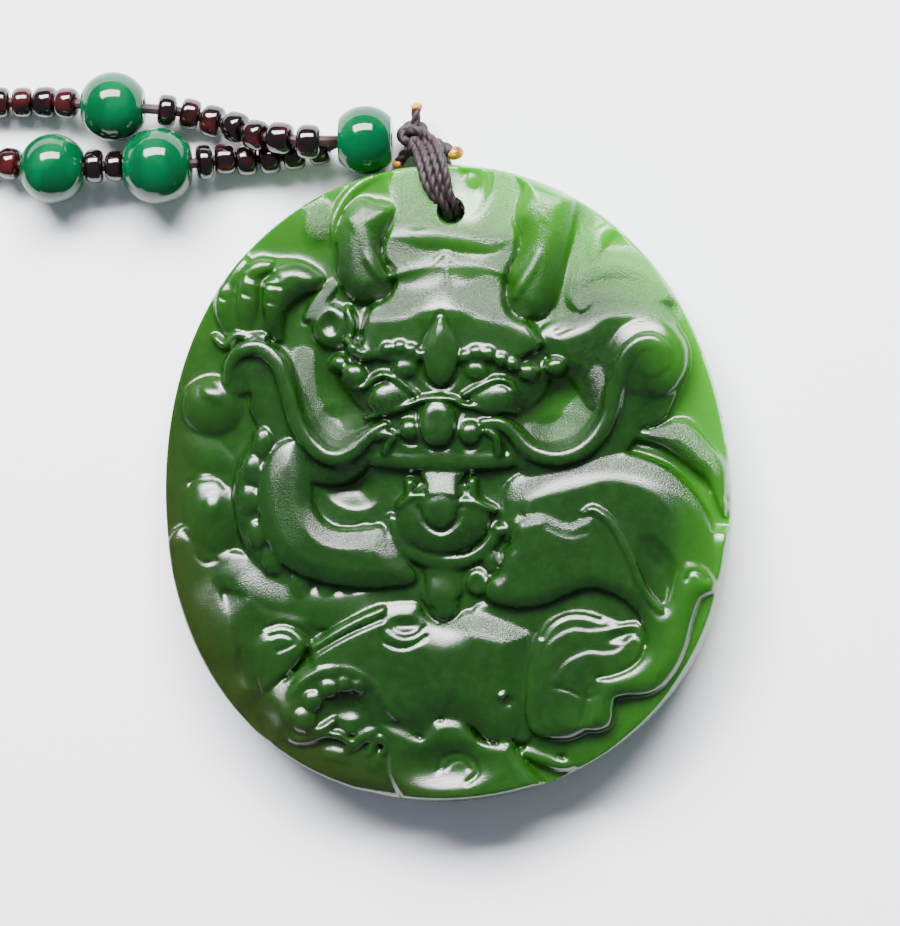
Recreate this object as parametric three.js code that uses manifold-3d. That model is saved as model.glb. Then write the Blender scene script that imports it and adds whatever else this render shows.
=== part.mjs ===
// Jade dragon pendant: an oval plaque of green jade, lying on its flat back, with a dragon
// carved in relief on its face. A brown cord goes through a small hole near the top and is
// knotted at a green bead, from which a necklace of black and green beads runs off.
// Millimetres. The carved face looks up (+Z), the top of the design is +Y, and the origin is
// in the middle of the plaque's back.

import * as THREE from 'three';
import { mergeVertices } from 'three/addons/utils/BufferGeometryUtils.js';
import Module from 'manifold-3d';

const wasm = await Module();
wasm.setup();

// Driving dimensions of the plaque
const PENDANT_HEIGHT = 57.5;
const PENDANT_WIDTH = 51.2;
const GROUND = 5.4; // thickness up to the sunken ground between the figures
const CARVING = 4.3; // from that ground up to the highest crest
const RIM_TOP = 4.4; // where the upright edge ends and the face rolls in
const RIM_ROLL = 3.2; // width of that roll
const BACK_RISE = 1.7; // how far the back lifts off at the edge
const BACK_FLAT = 0.55; // share of the outline that is flat behind
const BACK_RING = 0.86; // share of the ring of points between it and the edge
const HOLE_DIAMETER = 2.3;
const HOLE_X = 0.45;
const HOLE_TO_TOP = 4.15;
const RINGS = 32; // rings of the face's mesh

// Driving dimensions of the cord and the beads
const CORD = 0.9;
const CLEARANCE = 0.3;
const TOP_BEAD = { width: 6.2, long: 4.7 };
const GREEN_BEAD = { width: 6.9, long: 6.0 };
const END_BEAD = { width: 6.3, long: 5.6 };
const BORE = 1.7;
const BLACK_BEAD = { width: 2.8, long: 1.7 };
const STRAND_GAP = 5; // between the strands of the coiled necklace
const UPPER_STRAND = 3.6; // from the top bead's middle up to the upper strand, further left
const COIL_RADIUS = 28; // to the middle of its outer strand
const COIL_PAST = 48.9; // from the pendant's middle line to the near side of the coil

// The carving is drawn at this size and follows the pendant's own
const DRAWN_HEIGHT = 57.5;
const DRAWN_WIDTH = 51.2;
const DRAWN_CARVING = 4.3;
const DRAWN_RIGHT = 0.65; // from the plaque's middle to the drawing's
const DRAWN_UP = 0.3;
const ACROSS = PENDANT_WIDTH / DRAWN_WIDTH;
const UPWARD = PENDANT_HEIGHT / DRAWN_HEIGHT;

// Colours and finish
const JADE = { color: 0x2f6a22, roughness: 0.28, metalness: 0 };
const CORD_BROWN = { color: 0x4a2a30, roughness: 0.8, metalness: 0 };
const GREEN_GLASS = { color: 0x0f8f56, roughness: 0.15, metalness: 0 };
const BLACK_GLASS = { color: 0x1a0a0c, roughness: 0.15, metalness: 0 };

// The outline: an oval a little fuller below than above, as shares of its mean radius
const OVAL = [
  { turns: 1, even: 0.0046, odd: -0.0049 },
  { turns: 2, even: -0.0574, odd: -0.0028 },
  { turns: 3, even: 0.0033, odd: -0.0089 },
  { turns: 4, even: -0.007, odd: -0.0033 },
];

function ovalRadius(angle) {
  let r = 1;
  for (const { turns, even, odd } of OVAL) {
    r += even * Math.cos(turns * angle) + odd * Math.sin(turns * angle);
  }
  return r;
}

// The oval's own box, so that it can be centred and brought to size
function ovalBox() {
  const box = new THREE.Box2();
  const steps = 1440;
  for (let i = 0; i < steps; i++) {
    const a = (2 * Math.PI * i) / steps;
    const r = ovalRadius(a);
    box.expandByPoint(new THREE.Vector2(r * Math.cos(a), r * Math.sin(a)));
  }
  return box;
}

const OVAL_BOX = ovalBox();
const OVAL_MIDDLE = OVAL_BOX.getCenter(new THREE.Vector2());
const OVAL_SIZE = OVAL_BOX.getSize(new THREE.Vector2());

// A point of the plaque at a share of the way from the middle to the outline
function atShare(share, angle) {
  const r = share * ovalRadius(angle);
  return [
    ((r * Math.cos(angle) - share * OVAL_MIDDLE.x) / OVAL_SIZE.x) * PENDANT_WIDTH,
    ((r * Math.sin(angle) - share * OVAL_MIDDLE.y) / OVAL_SIZE.y) * PENDANT_HEIGHT,
  ];
}

// The height of the outline's upper side at a given x
function rimAbove(x) {
  let best = 0;
  const steps = 720;
  for (let i = 1; i <= steps; i++) {
    const [x0, y0] = atShare(1, (Math.PI * (i - 1)) / steps);
    const [x1, y1] = atShare(1, (Math.PI * i) / steps);
    if ((x0 - x) * (x1 - x) <= 0) best = Math.max(best, Math.max(y0, y1));
  }
  return best;
}

// Smooth curve through a few rows of numbers; all columns ride along
function smooth(rows, closed = false, steps = 6) {
  const n = rows.length;
  const at = (i) => {
    if (closed) return rows[(i + n) % n];
    if (i < 0) return rows[0].map((v, k) => 2 * v - rows[1][k]);
    if (i >= n) return rows[n - 1].map((v, k) => 2 * v - rows[n - 2][k]);
    return rows[i];
  };
  const out = [];
  for (let i = 0; i < (closed ? n : n - 1); i++) {
    const [a, b, c, d] = [at(i - 1), at(i), at(i + 1), at(i + 2)];
    for (let s = 0; s < steps; s++) {
      const t = s / steps;
      out.push(b.map((v, k) => {
        const line = 2 * v + (c[k] - a[k]) * t;
        const bend = (2 * a[k] - 5 * v + 4 * c[k] - d[k]) * t * t;
        return 0.5 * (line + bend + (3 * v - a[k] - 3 * c[k] + d[k]) * t ** 3);
      }));
    }
  }
  out.push(closed ? out[0] : rows[n - 1]);
  return out;
}

// Nearest point of a curve: distance, and the further columns there
function nearest(curve, x, y) {
  let best = Infinity;
  let ride = null;
  for (let i = 1; i < curve.length; i++) {
    const a = curve[i - 1];
    const b = curve[i];
    const dx = b[0] - a[0];
    const dy = b[1] - a[1];
    const t = THREE.MathUtils.clamp(
      ((x - a[0]) * dx + (y - a[1]) * dy) / Math.max(dx * dx + dy * dy, 1e-12), 0, 1);
    const d = Math.hypot(x - a[0] - t * dx, y - a[1] - t * dy);
    if (d < best) {
      best = d;
      ride = a.slice(2).map((v, k) => v + t * (b[k + 2] - v));
    }
  }
  return [best, ride];
}

function isInside(loop, x, y) {
  let odd = false;
  for (let i = 1; i < loop.length; i++) {
    const [ax, ay] = loop[i - 1];
    const [bx, by] = loop[i];
    if ((ay > y) !== (by > y) && x < ((bx - ax) * (y - ay)) / (by - ay) + ax) odd = !odd;
  }
  return odd;
}

// The face as a list of points with a rise over the ground; every cut below works on it
const panel = [];

function changeNear(curve, reach, change) {
  const xs = curve.map((p) => p[0]);
  const ys = curve.map((p) => p[1]);
  const box = [Math.min(...xs), Math.max(...xs), Math.min(...ys), Math.max(...ys)];
  for (const p of panel) {
    if (p.x < box[0] - reach || p.x > box[1] + reach) continue;
    if (p.y < box[2] - reach || p.y > box[3] + reach) continue;
    change(p);
  }
}

// A rounded body along rows of x, y, half width and crest; it falls by drop half widths
function ridge(rows, drop = 0.7) {
  const curve = smooth(rows);
  changeNear(curve, Math.max(...rows.map((r) => r[2])), (p) => {
    const [d, [half, crest]] = nearest(curve, p.x, p.y);
    if (d >= half) return;
    const z = crest - drop * half * (1 - Math.sqrt(1 - (d / half) ** 2));
    p.rise = Math.max(p.rise, z);
  });
}

// A dome over an ellipse
function boss(x, y, rx, ry, crest, drop = 0.6 * Math.min(rx, ry)) {
  for (const p of panel) {
    const q = ((p.x - x) / rx) ** 2 + ((p.y - y) / ry) ** 2;
    if (q < 1) p.rise = Math.max(p.rise, crest - drop * (1 - Math.sqrt(1 - q)));
  }
}

// A soft hollow, or with a negative depth a soft swelling
function hollow(x, y, rx, ry, depth) {
  for (const p of panel) {
    const q = 1 - ((p.x - x) / rx) ** 2 - ((p.y - y) / ry) ** 2;
    if (q > 0) p.rise -= depth * q ** 1.5;
  }
}

// A flat body inside a smooth outline, rounded over its bevel
function body(outline, crest, bevel, drop) {
  const loop = smooth(outline, true);
  changeNear(loop, 0, (p) => {
    if (!isInside(loop, p.x, p.y)) return;
    const u = Math.max(1 - nearest(loop, p.x, p.y)[0] / bevel, 0);
    p.rise = Math.max(p.rise, crest - drop * (1 - Math.sqrt(1 - u * u)));
  });
}

// A field sunk to a floor inside a smooth outline
function field(outline, floor, wall) {
  const loop = smooth(outline, true);
  changeNear(loop, 0, (p) => {
    if (!isInside(loop, p.x, p.y)) return;
    const u = THREE.MathUtils.smoothstep(nearest(loop, p.x, p.y)[0], 0, wall);
    p.rise = Math.min(p.rise, p.rise + (floor - p.rise) * u);
  });
}

// Top: the sunken field round the hole, the two horns and the lip beside the left one
function carveTop() {
  field([[-5.9, 20.2], [-6.2, 22], [-5.5, 24], [-6.4, 26], [-5.9, 28.2], [-1, 29.2], [4.9, 28.2], [5.2, 25],
    [5.8, 21], [4, 18.1], [0.6, 20], [-2.2, 20], [-4.8, 19.2]], -0.6, 0.9);
  hollow(0.3, 24.6, 3, 2.6, 0.5);
  ridge([[7.2, 16.9, 2.3, 2.6], [7.7, 19.2, 2.45, 2.2], [8.2, 23, 2.6, 1.6], [8, 26.2, 2.6, 0.8]], 0.55);
  ridge([[-8.1, 17.8, 2.25, 2.7], [-8.4, 20, 2.2, 2.5], [-8.4, 22, 2.1, 2.1],
    [-8.1, 23.3, 1.85, 1.8]], 0.55);
  ridge([[-10.5, 23.4, 0.8, 0.8], [-9.2, 25.8, 0.8, 0.7], [-6.4, 27.8, 0.7, 0.3]], 0.8);
}

// The ears: a broad one at the right behind the whisker, and a ring at the left
function carveEars() {
  body([[8.2, 13.3], [11, 15], [12.6, 16.7], [14.5, 17.15], [17, 16.7], [19.2, 15.8], [20.9, 13.6],
    [22.9, 7.6], [22.9, 4.5], [19.5, 4], [14.5, 4.6], [12, 8], [9.2, 10.8]], 1.7, 2.2, 0.9);
  ridge([[14.6, 12.6, 0.6, 2], [15.8, 13.5, 0.9, 2.4], [17.6, 13.8, 1, 2.5], [20, 12, 0.8, 2]], 0.8);
  hollow(17.8, 8, 2.6, 3, 0.9);
  boss(-10.95, 13.9, 1.7, 2.05, 2, 0.8);
  hollow(-11, 14.1, 1, 1.3, 0.7);
  ridge([[-13, 14.8, 0.6, 1.4], [-10.9, 17.4, 0.6, 1.3]], 0.8);
}

// The raised claw at the upper left: a palm and fingers that point down
function carveLeftClaw() {
  body([[-16.3, 18.6], [-15, 19.6], [-12.5, 19.1], [-11.6, 18.2], [-13.8, 16.4], [-15.4, 13.6],
    [-16.8, 13.4]], 2, 1.3, 0.9);
  const fingers = [[-16.1, 17.4, 13.2, 2.1], [-18.45, 18, 14, 1.9], [-20.6, 17.2, 14.6, 1.2]];
  for (const [x, top, tip, crest] of fingers) {
    ridge([[x, top, 1, crest], [x - 0.1, (top + tip) / 2, 1.05, crest - 0.1],
      [x, tip, 0.7, crest - 0.6]], 0.9);
  }
  ridge([[-20.2, 17.6, 0.8, 0.9], [-18.4, 19.1, 0.9, 1.6], [-16.6, 19.4, 0.7, 1.6]], 0.8);
  hollow(-12.6, 22.8, 2.4, 2.2, -0.9);
}

// Cloud puffs along the left edge
function carvePuffs() {
  boss(-22, 6.9, 2.9, 2.9, 1.3, 1.2);
  boss(-22.5, -3.3, 2.7, 4.2, 1.3, 1.2);
  ridge([[-24.6, 4.2, 1.4, 0], [-22.5, 2.6, 2.2, 0.4], [-20.6, 1.6, 1.2, 0.4]], 0.4);
}

// The coiled body at the left, with a knobbed fin along its outer side
function carveCoil() {
  hollow(-18, 8.6, 2.4, 2.8, 1.1);
  const fin = [[-16.6, 3.8], [-18.2, 1], [-18.6, -1.8], [-18, -4.9], [-16.5, -7.4], [-14, -9.6]];
  ridge(fin.map(([x, y]) => [x, y, 1.1, 1.6]), 0.7);
  for (const [x, y] of fin.slice(0, 5)) boss(x, y, 1, 1.2, 2.2, 0.6);
  body([[-14.2, 3.8], [-15.7, 3.2], [-17.2, 0.8], [-17.3, -3.5], [-14.6, -8], [-8, -9.65], [-3.2, -8.8],
    [-4.8, -6.3], [-6.3, -3.5], [-9.2, -4], [-11.6, -2.5], [-12.3, -0.2], [-13.4, 2.9]], 2.9, 1.5, 1.3);
  hollow(-9.2, -0.6, 2.9, 2, 1);
}

// The hind body at the lower left and its hooked scroll
function carveLowerLeft() {
  body([[-23.4, -12.5], [-21.4, -10.4], [-18, -8.3], [-16.2, -9.8], [-10, -11.5], [-11, -13.2],
    [-13.5, -16.2], [-17.3, -20], [-18.6, -20.8], [-22.3, -15.7]], 1.7, 1.5, 1);
  hollow(-18.9, -16.6, 1, 2.3, 0.7);
  body([[-17.2, -13.4], [-15.5, -12.9], [-13.6, -13.4], [-12.75, -14.8], [-14.2, -16.9], [-17, -19.1],
    [-17.6, -16]], 2.2, 0.8, 0.6);
}

// The broad belly plate below, the beaded shell and the leaves and cloud along the lower edge
function carveBottom() {
  body([[-12.8, -14.6], [-9.2, -12.4], [-5.8, -11.05], [-3.3, -10.95], [-1.8, -12.6], [-0.2, -12.8],
    [1.6, -11.8], [4.2, -12.3], [7.3, -13.4], [6.4, -17.5], [5.5, -23], [3.3, -23.3], [0.2, -21.6],
    [-2.5, -22.3], [-6.6, -21.4], [-7.2, -19], [-9.6, -17.2], [-12.2, -18.2], [-15, -23],
    [-17.7, -21], [-14.6, -17.1]], 2.4, 2, 1.2);
  field([[-14.3, -21.8], [-12.2, -18.4], [-9.2, -17.5], [-6.9, -19.6], [-6.6, -21.2],
    [-10, -22.5]], 0.5, 0.7);
  const shell = { x: -10.1, y: -21.6, rx: 4.7, ry: 4.6 };
  const arc = (share, from, to, steps) => Array.from({ length: steps + 1 }, (_, i) => {
    const a = THREE.MathUtils.degToRad(from + ((to - from) * i) / steps);
    return [shell.x + share * shell.rx * Math.cos(a), shell.y + share * shell.ry * Math.sin(a)];
  });
  ridge(arc(1, 5, 185, 6).map(([x, y]) => [x, y, 0.8, 2.7]), 0.7);
  for (const [x, y] of arc(0.66, 75, 190, 3)) boss(x, y, 0.95, 0.95, 2.3, 0.7);
  hollow(-9.2, -20, 1.7, 1.3, 1.2);
  ridge([[-14.9, -22.6, 0.6, 1.9], [-12.2, -23.2, 0.6, 2.2], [-10, -21.9, 0.6, 2],
    [-8, -21.8, 0.5, 1.8]], 0.8);
  ridge([[-12.2, -24.6, 0.8, 1], [-10.6, -25, 1, 1.3], [-9.2, -26, 0.8, 0.9]], 0.7);
  ridge([[-9, -24.2, 0.5, 1.6], [-8.2, -23.6, 0.8, 1.9], [-6.7, -22.5, 0.5, 1.9]], 0.8);
  boss(-6.8, -25.2, 1.5, 1.4, 1.4, 0.9);
  ridge([[-6.8, -22, 0.6, 1.9], [-2.9, -22.9, 0.6, 1.9], [0.2, -21.9, 0.6, 1.9], [2.6, -23.3, 0.6, 1.9],
    [5.4, -23.6, 0.6, 1.6]], 0.6);
  body([[-5.6, -23.8], [-1.4, -22.8], [0.3, -22.4], [2.6, -24.1], [5.5, -24.6], [4.8, -26.8], [1, -27.5],
    [-4.8, -27.2]], 1.3, 1, 0.8);
  hollow(0.5, -25.8, 1.5, 1.2, 0.5);
  body([[6.1, -24.5], [8.2, -24.3], [11.3, -25.1], [8, -25.7]], 1.1, 0.6, 0.6);
}

// The body that arches down the right side, its fin, the elbow and the foreleg
function carveRightBody() {
  body([[14.2, 4.05], [17.5, 4.65], [20.3, 5.3], [23, 3.2], [25.3, -1.5], [25, -4], [21.5, 1.2],
    [18.6, 3.2]], 1.8, 1.2, 1);
  body([[4.6, -0.9], [6.1, 0.75], [9.6, 1.6], [12.6, 2.5], [16, 2.7], [20.2, 1.1], [23.7, -2.6], [25.3, -9],
    [22.2, -10.3], [18.4, -11], [8, -6], [4.2, -4]], 3, 2.4, 1.5);
  hollow(17.5, -8.1, 1.6, 2.6, 1.5);
  boss(21.3, -8.6, 1.7, 1.9, 3.1, 0.9);
  body([[5.3, -3.7], [8.1, -2.5], [10.6, -3.15], [12.7, -2.15], [15.2, -5.2], [17.2, -9.8], [19.1, -11.4],
    [21.8, -10.5], [20.7, -14.7], [17.6, -18.5], [14.7, -19.2], [15.4, -14.2], [14.6, -10.8], [11.2, -9.8],
    [7, -11.3], [3.1, -10.4], [4.4, -7.2]], 3.7, 1.7, 1.2);
}

// The paw at the lower right: four fingers that curl down to the edge, and the shelf under them
function carvePaw() {
  hollow(11, -11, 3.6, 1.6, 1.1);
  ridge([[13.3, -12.5, 0.8, 2.4], [10.7, -12.45, 0.9, 2.7], [8.6, -13.6, 1, 2.8], [7.5, -17, 0.9, 2.3],
    [7.4, -21.8, 0.7, 1.2]]);
  ridge([[13.1, -13.6, 0.6, 2.8], [10, -14.4, 0.8, 3.2], [8.7, -17, 0.9, 2.8], [8.6, -21.8, 0.7, 1.4]]);
  ridge([[16.3, -14.3, 0.9, 3], [12.8, -16, 1.1, 3.5], [10.9, -18, 1.2, 2.9], [10.4, -22.2, 0.8, 1.5]]);
  ridge([[17.7, -16.6, 0.9, 3], [15.6, -17.8, 1, 3.2], [13.4, -19.4, 1, 2.8], [12.9, -21.8, 0.8, 1.7]]);
  ridge([[6.4, -22.9, 0.8, 0.8], [12, -23.5, 0.9, 0.9], [17.6, -20.8, 0.8, 0.6]]);
}

// The head: crown, skull, brows, gem, eyes, nose and lip
function carveHead() {
  hollow(-10.6, 7.8, 3.4, 4.6, 1.2);
  hollow(9.6, 7.2, 3.6, 4.2, 1.3);
  body([[-5.3, 18.9], [-1.8, 20.05], [-0.7, 20.6], [0.9, 19.6], [4.5, 17.6], [5, 15],
    [-5, 15]], 1.9, 0.6, 0.7);
  boss(-0.6, 11.2, 9.4, 6.2, 2.9, 1.9);
  boss(-0.9, 13.6, 3.6, 4, 3.7, 1.5);
  boss(-0.9, 4.6, 6.6, 4.6, 3, 1.6);
  ridge([[-0.8, 10.75, 1.6, 4.2], [-0.75, 14.6, 0.5, 3.9]], 0.4);
  const brow = [[1.7, 3.5, 3.8], [3.6, 4.1, 3.8], [5, 3.6, 3.6], [6.7, 3.1, 3.4]];
  const ball = { lobeX: 5.6, eyeX: 4.7, nostrilX: 2.75 };
  for (const side of [-1, 1]) {
    const x = (away) => side * away - 0.85;
    boss(x(ball.lobeX + 0.9), 13.5, 2.7, 2.35, 3.3, 1.3);
    ridge(brow.map(([away, up, crest]) => [x(away), 8 + up, 0.75, crest]), 0.9);
    boss(x(3.2), 10, 1.15, 0.9, 3.7, 0.7);
    boss(x(7.8), 9.7, 1.1, 1, 3.3, 0.8);
    boss(x(ball.eyeX), 7.4, 1.8, 1.25, 3.6, 0.9);
    ridge([[x(1.9), 7.8, 0.55, 3.5], [x(4.9), 9.2, 0.6, 3.7], [x(6.7), 8.2, 0.5, 3.2]], 0.9);
    ridge([[x(1.9), 6.9, 0.5, 3.4], [x(4.4), 6.1, 0.55, 3.2], [x(6.7), 5.8, 0.5, 2.9]], 0.9);
    boss(x(ball.nostrilX), 4.6, 1.1, 1.1, 3.9, 0.9);
    ridge([[x(4), 4.4, 0.6, 3.4], [x(5.2), 3.6, 0.6, 3.2], [x(5.1), 2.7, 0.5, 3.1]], 0.8);
  }
  ridge([[-1.1, 5.6, 1.4, 4.2], [-1.1, 4.6, 1.45, 4.3]], 0.7);
  ridge([[-6.8, 2, 0.7, 2.4], [-0.8, 2, 0.9, 3.1], [5, 1.9, 0.7, 2.4]], 0.6);
}

// The long whiskers that swing out below the eyes and curl at their ends
function carveWhiskers() {
  ridge([[-5.9, 4.9, 0.5, 3.2], [-8.4, 2.9, 0.85, 3.1], [-9.9, 2.1, 0.95, 3], [-11.5, 2.3, 0.95, 2.9],
    [-13, 3.7, 0.95, 2.8], [-14.8, 8.4, 0.95, 2.6], [-15.7, 10.5, 0.95, 2.5], [-17.2, 11.7, 0.95, 2.3],
    [-18.9, 11.6, 0.9, 2.1], [-20.3, 9.6, 0.7, 1.5]]);
  ridge([[2.9, 5.35, 0.5, 3.3], [5.7, 4.3, 0.8, 3.2], [8.1, 2.4, 0.95, 3.2], [9.9, 2.25, 0.95, 3.2],
    [11.7, 2.9, 0.95, 3.1], [13.1, 4.2, 0.95, 3], [14.6, 8.4, 0.95, 2.9], [16.2, 11.5, 1.05, 3.1],
    [17.6, 11.9, 1.2, 3.2], [18.2, 10.8, 1, 3]]);
}

// The open mouth: teeth, the pearl held in it, the lower lip and the beard
function carveMouth() {
  field([[-5.2, 1], [-2.8, 1.25], [1, 1.2], [4.2, 0.9], [4.8, -1.5], [3.2, -6], [-0.8, -7.3], [-4.9, -5.6],
    [-6.6, 0]], 0.8, 0.8);
  ridge([[-5.4, -3.4, 0.7, 2.2], [-4.3, -5.9, 0.75, 2.4], [-0.8, -7.2, 0.85, 2.6], [2.6, -6.4, 0.75, 2.4],
    [4.2, -4.3, 0.75, 2.4]], 0.9);
  boss(-0.75, -3.4, 4.1, 3, 3.2, 1.3);
  boss(-0.9, -2.5, 1.75, 2, 3.6, 0.9);
  body([[-2.7, 1.1], [1.1, 1.1], [0.9, -1.3], [-2.4, -1.3]], 3, 0.5, 0.4);
  ridge([[2, 0.1, 0.6, 3], [2.1, -1.3, 0.5, 2.9]], 0.8);
  ridge([[-3.7, 0, 0.6, 3], [-3.9, -1.4, 0.5, 2.9]], 0.8);
  ridge([[-0.9, -8.4, 2, 2], [-0.9, -10, 1.95, 2.3], [-0.7, -11.2, 1.3, 2.2]], 0.55);
  boss(2.35, -9, 1.2, 1.3, 2.2, 0.9);
}

function carveAll() {
  hollow(0, 0, 24, 27, -1.5);
  carveTop();
  carveEars();
  carveLeftClaw();
  carvePuffs();
  carveCoil();
  carveLowerLeft();
  carveBottom();
  carveRightBody();
  carvePaw();
  carveHead();
  carveWhiskers();
  carveMouth();
}

// Height of the face over the back at a share of the outline, from the rises found there
function faceHeight(share, rise) {
  const inset = (1 - share) * Math.min(PENDANT_WIDTH, PENDANT_HEIGHT) / 2;
  const t = THREE.MathUtils.clamp(inset / RIM_ROLL, 0, 1);
  const roll = RIM_TOP + (GROUND + CARVING - RIM_TOP) * Math.sqrt(1 - (1 - t) ** 2);
  return Math.min(GROUND + (rise * CARVING) / DRAWN_CARVING, roll);
}

const HOLE_Y = PENDANT_HEIGHT / 2 - HOLE_TO_TOP;
const CHANNEL = {
  middle: HOLE_X - 0.75,
  depth: CORD + 2 * CLEARANCE,
  half: 2 * CORD + 4 * CLEARANCE,
  fade: 2, // width of its sides
};

// The back is flat in the middle, lifts towards the edge, and has a shallow way for the cord
function backHeight(share, x, y) {
  const lift = BACK_RISE * Math.max((share - BACK_FLAT) / (1 - BACK_FLAT), 0) ** 1.1;
  const away = Math.abs(x - CHANNEL.middle);
  const side = 1 - THREE.MathUtils.smoothstep(away, CHANNEL.half, CHANNEL.half + CHANNEL.fade);
  const along = THREE.MathUtils.smoothstep(y, HOLE_Y - 1 - CHANNEL.fade, HOLE_Y - 1);
  return Math.max(lift, CHANNEL.depth * side * along);
}

function closedGeometry(positions, triangles) {
  const g = new THREE.BufferGeometry();
  g.setAttribute('position', new THREE.Float32BufferAttribute(positions, 3));
  g.setIndex(triangles);
  return g;
}

// The mesh of the plaque is made of rings. Ring k of the face has 6 k points, so that all its
// triangles are of a size.
function plaqueGeometry() {
  const step = (PENDANT_WIDTH + PENDANT_HEIGHT) / 4 / RINGS;
  const around = [[0, 0], [0.5, 0], [-0.5, 0], [0, 0.5], [0, -0.5]]; // a height is the mean of these five
  const spots = [];
  for (let k = 0; k <= RINGS; k++) {
    for (let s = 0; s < Math.max(6 * k, 1); s++) {
      const share = k / RINGS;
      const [x, y] = atShare(share, (2 * Math.PI * s) / Math.max(6 * k, 1));
      spots.push({ x, y, share });
      for (const [dx, dy] of around) {
        const [px, py] = [(x + dx * step) / ACROSS, (y + dy * step) / UPWARD];
        panel.push({ x: px - DRAWN_RIGHT, y: py - DRAWN_UP, rise: 0 });
      }
    }
  }
  carveAll();
  const positions = [];
  spots.forEach((s, k) => {
    const own = panel.slice(k * around.length, (k + 1) * around.length);
    const rise = own.reduce((sum, p) => sum + p.rise, own[0].rise) / (around.length + 1);
    positions.push(s.x, s.y, faceHeight(s.share, rise));
  });
  const triangles = [];
  const face = (k, s) => (k === 0 ? 0 : 1 + 3 * k * (k - 1) + (s % (6 * k)));
  for (let k = 1; k <= RINGS; k++) {
    for (let side = 0; side < 6; side++) {
      for (let m = 0; m < k; m++) {
        const [outer, inner] = [side * k + m, side * (k - 1) + m];
        triangles.push(face(k - 1, inner), face(k, outer), face(k, outer + 1));
        if (m < k - 1) triangles.push(face(k - 1, inner), face(k, outer + 1), face(k - 1, inner + 1));
      }
    }
  }
  const edge = Array.from({ length: 6 * RINGS }, (_, s) => face(RINGS, s));
  const behind = (share, every) => {
    const count = (6 * RINGS) / every;
    return Array.from({ length: count }, (_, s) => {
      const [x, y] = atShare(share, (2 * Math.PI * s) / count);
      positions.push(x, y, backHeight(share, x, y));
      return positions.length / 3 - 1;
    });
  };
  const join = (upper, lower) => {
    const many = upper.length / lower.length;
    lower.forEach((low, k) => {
      const next = lower[(k + 1) % lower.length];
      const u = (m) => upper[(k * many + m) % upper.length];
      for (let m = 0; m < many; m++) triangles.push(u(m), low, u(m + 1));
      triangles.push(u(many), low, next);
    });
  };
  const between = (BACK_RING + BACK_FLAT) / 2;
  const rings = [edge, behind(1, 2), behind(BACK_RING, 4), behind(between, 4), behind(BACK_FLAT, 4)];
  for (let k = 1; k < rings.length; k++) join(rings[k - 1], rings[k]);
  const flat = rings[rings.length - 1];
  positions.push(0, 0, 0);
  const middle = positions.length / 3 - 1;
  flat.forEach((a, k) => triangles.push(a, middle, flat[(k + 1) % flat.length]));
  return closedGeometry(positions, triangles);
}

// A geometry as a solid for cutting and joining, its faces turned outwards
function asSolid(geometry) {
  let g = geometry.clone();
  for (const name of Object.keys(g.attributes)) if (name !== 'position') g.deleteAttribute(name);
  g = mergeVertices(g, 1e-4);
  const vertices = new Float32Array(g.attributes.position.array);
  const corners = [];
  for (let k = 0; k < g.index.count; k += 3) {
    const [a, b, c] = [g.index.getX(k), g.index.getX(k + 1), g.index.getX(k + 2)];
    if (a !== b && b !== c && c !== a) corners.push(a, b, c);
  }
  const at = (k) => new THREE.Vector3().fromArray(vertices, 3 * k);
  let volume = 0;
  for (let k = 0; k < corners.length; k += 3) {
    volume += at(corners[k]).dot(at(corners[k + 1]).cross(at(corners[k + 2])));
  }
  if (volume < 0) corners.reverse();
  const mesh = new wasm.Mesh({ numProp: 3, vertProperties: vertices, triVerts: new Uint32Array(corners) });
  return new wasm.Manifold(mesh);
}

function asGeometry(solid) {
  const mesh = solid.getMesh();
  return closedGeometry(Array.from(mesh.vertProperties), Array.from(mesh.triVerts));
}

function joined(geometries) {
  const [first, ...rest] = geometries.map(asSolid);
  return asGeometry(rest.reduce((whole, next) => whole.add(next), first));
}

const pendant = new THREE.Group();

function addPart(name, geometry, finish) {
  geometry.computeVertexNormals();
  const mesh = new THREE.Mesh(geometry, new THREE.MeshStandardMaterial(finish));
  mesh.name = name;
  pendant.add(mesh);
}

// Jade plaque with its hole
const drill = new THREE.CylinderGeometry(HOLE_DIAMETER / 2, HOLE_DIAMETER / 2, 4 * (GROUND + CARVING), 14);
drill.rotateX(Math.PI / 2);
drill.translate(HOLE_X, HOLE_Y, 0);
addPart('jade_plaque', asGeometry(asSolid(plaqueGeometry()).subtract(asSolid(drill))), JADE);

// A bead turned about its bore
function beadGeometry({ width, long }) {
  const rows = 4;
  const sides = 12;
  const reach = Math.asin(long / width);
  const profile = [new THREE.Vector2(BORE / 2, -long / 2)];
  for (let k = 0; k <= rows; k++) {
    const a = reach * ((2 * k) / rows - 1);
    profile.push(new THREE.Vector2(0.5 * width * Math.cos(a), 0.5 * width * Math.sin(a)));
  }
  profile.push(new THREE.Vector2(BORE / 2, long / 2), profile[0].clone());
  return new THREE.LatheGeometry(profile, sides);
}

function placedAlong(geometry, point, direction) {
  const turn = new THREE.Quaternion().setFromUnitVectors(new THREE.Vector3(0, 1, 0), direction);
  geometry.applyQuaternion(turn);
  geometry.translate(point.x, point.y, point.z);
  return geometry;
}

const V = (x, y, z) => new THREE.Vector3(x, y, z);

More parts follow.
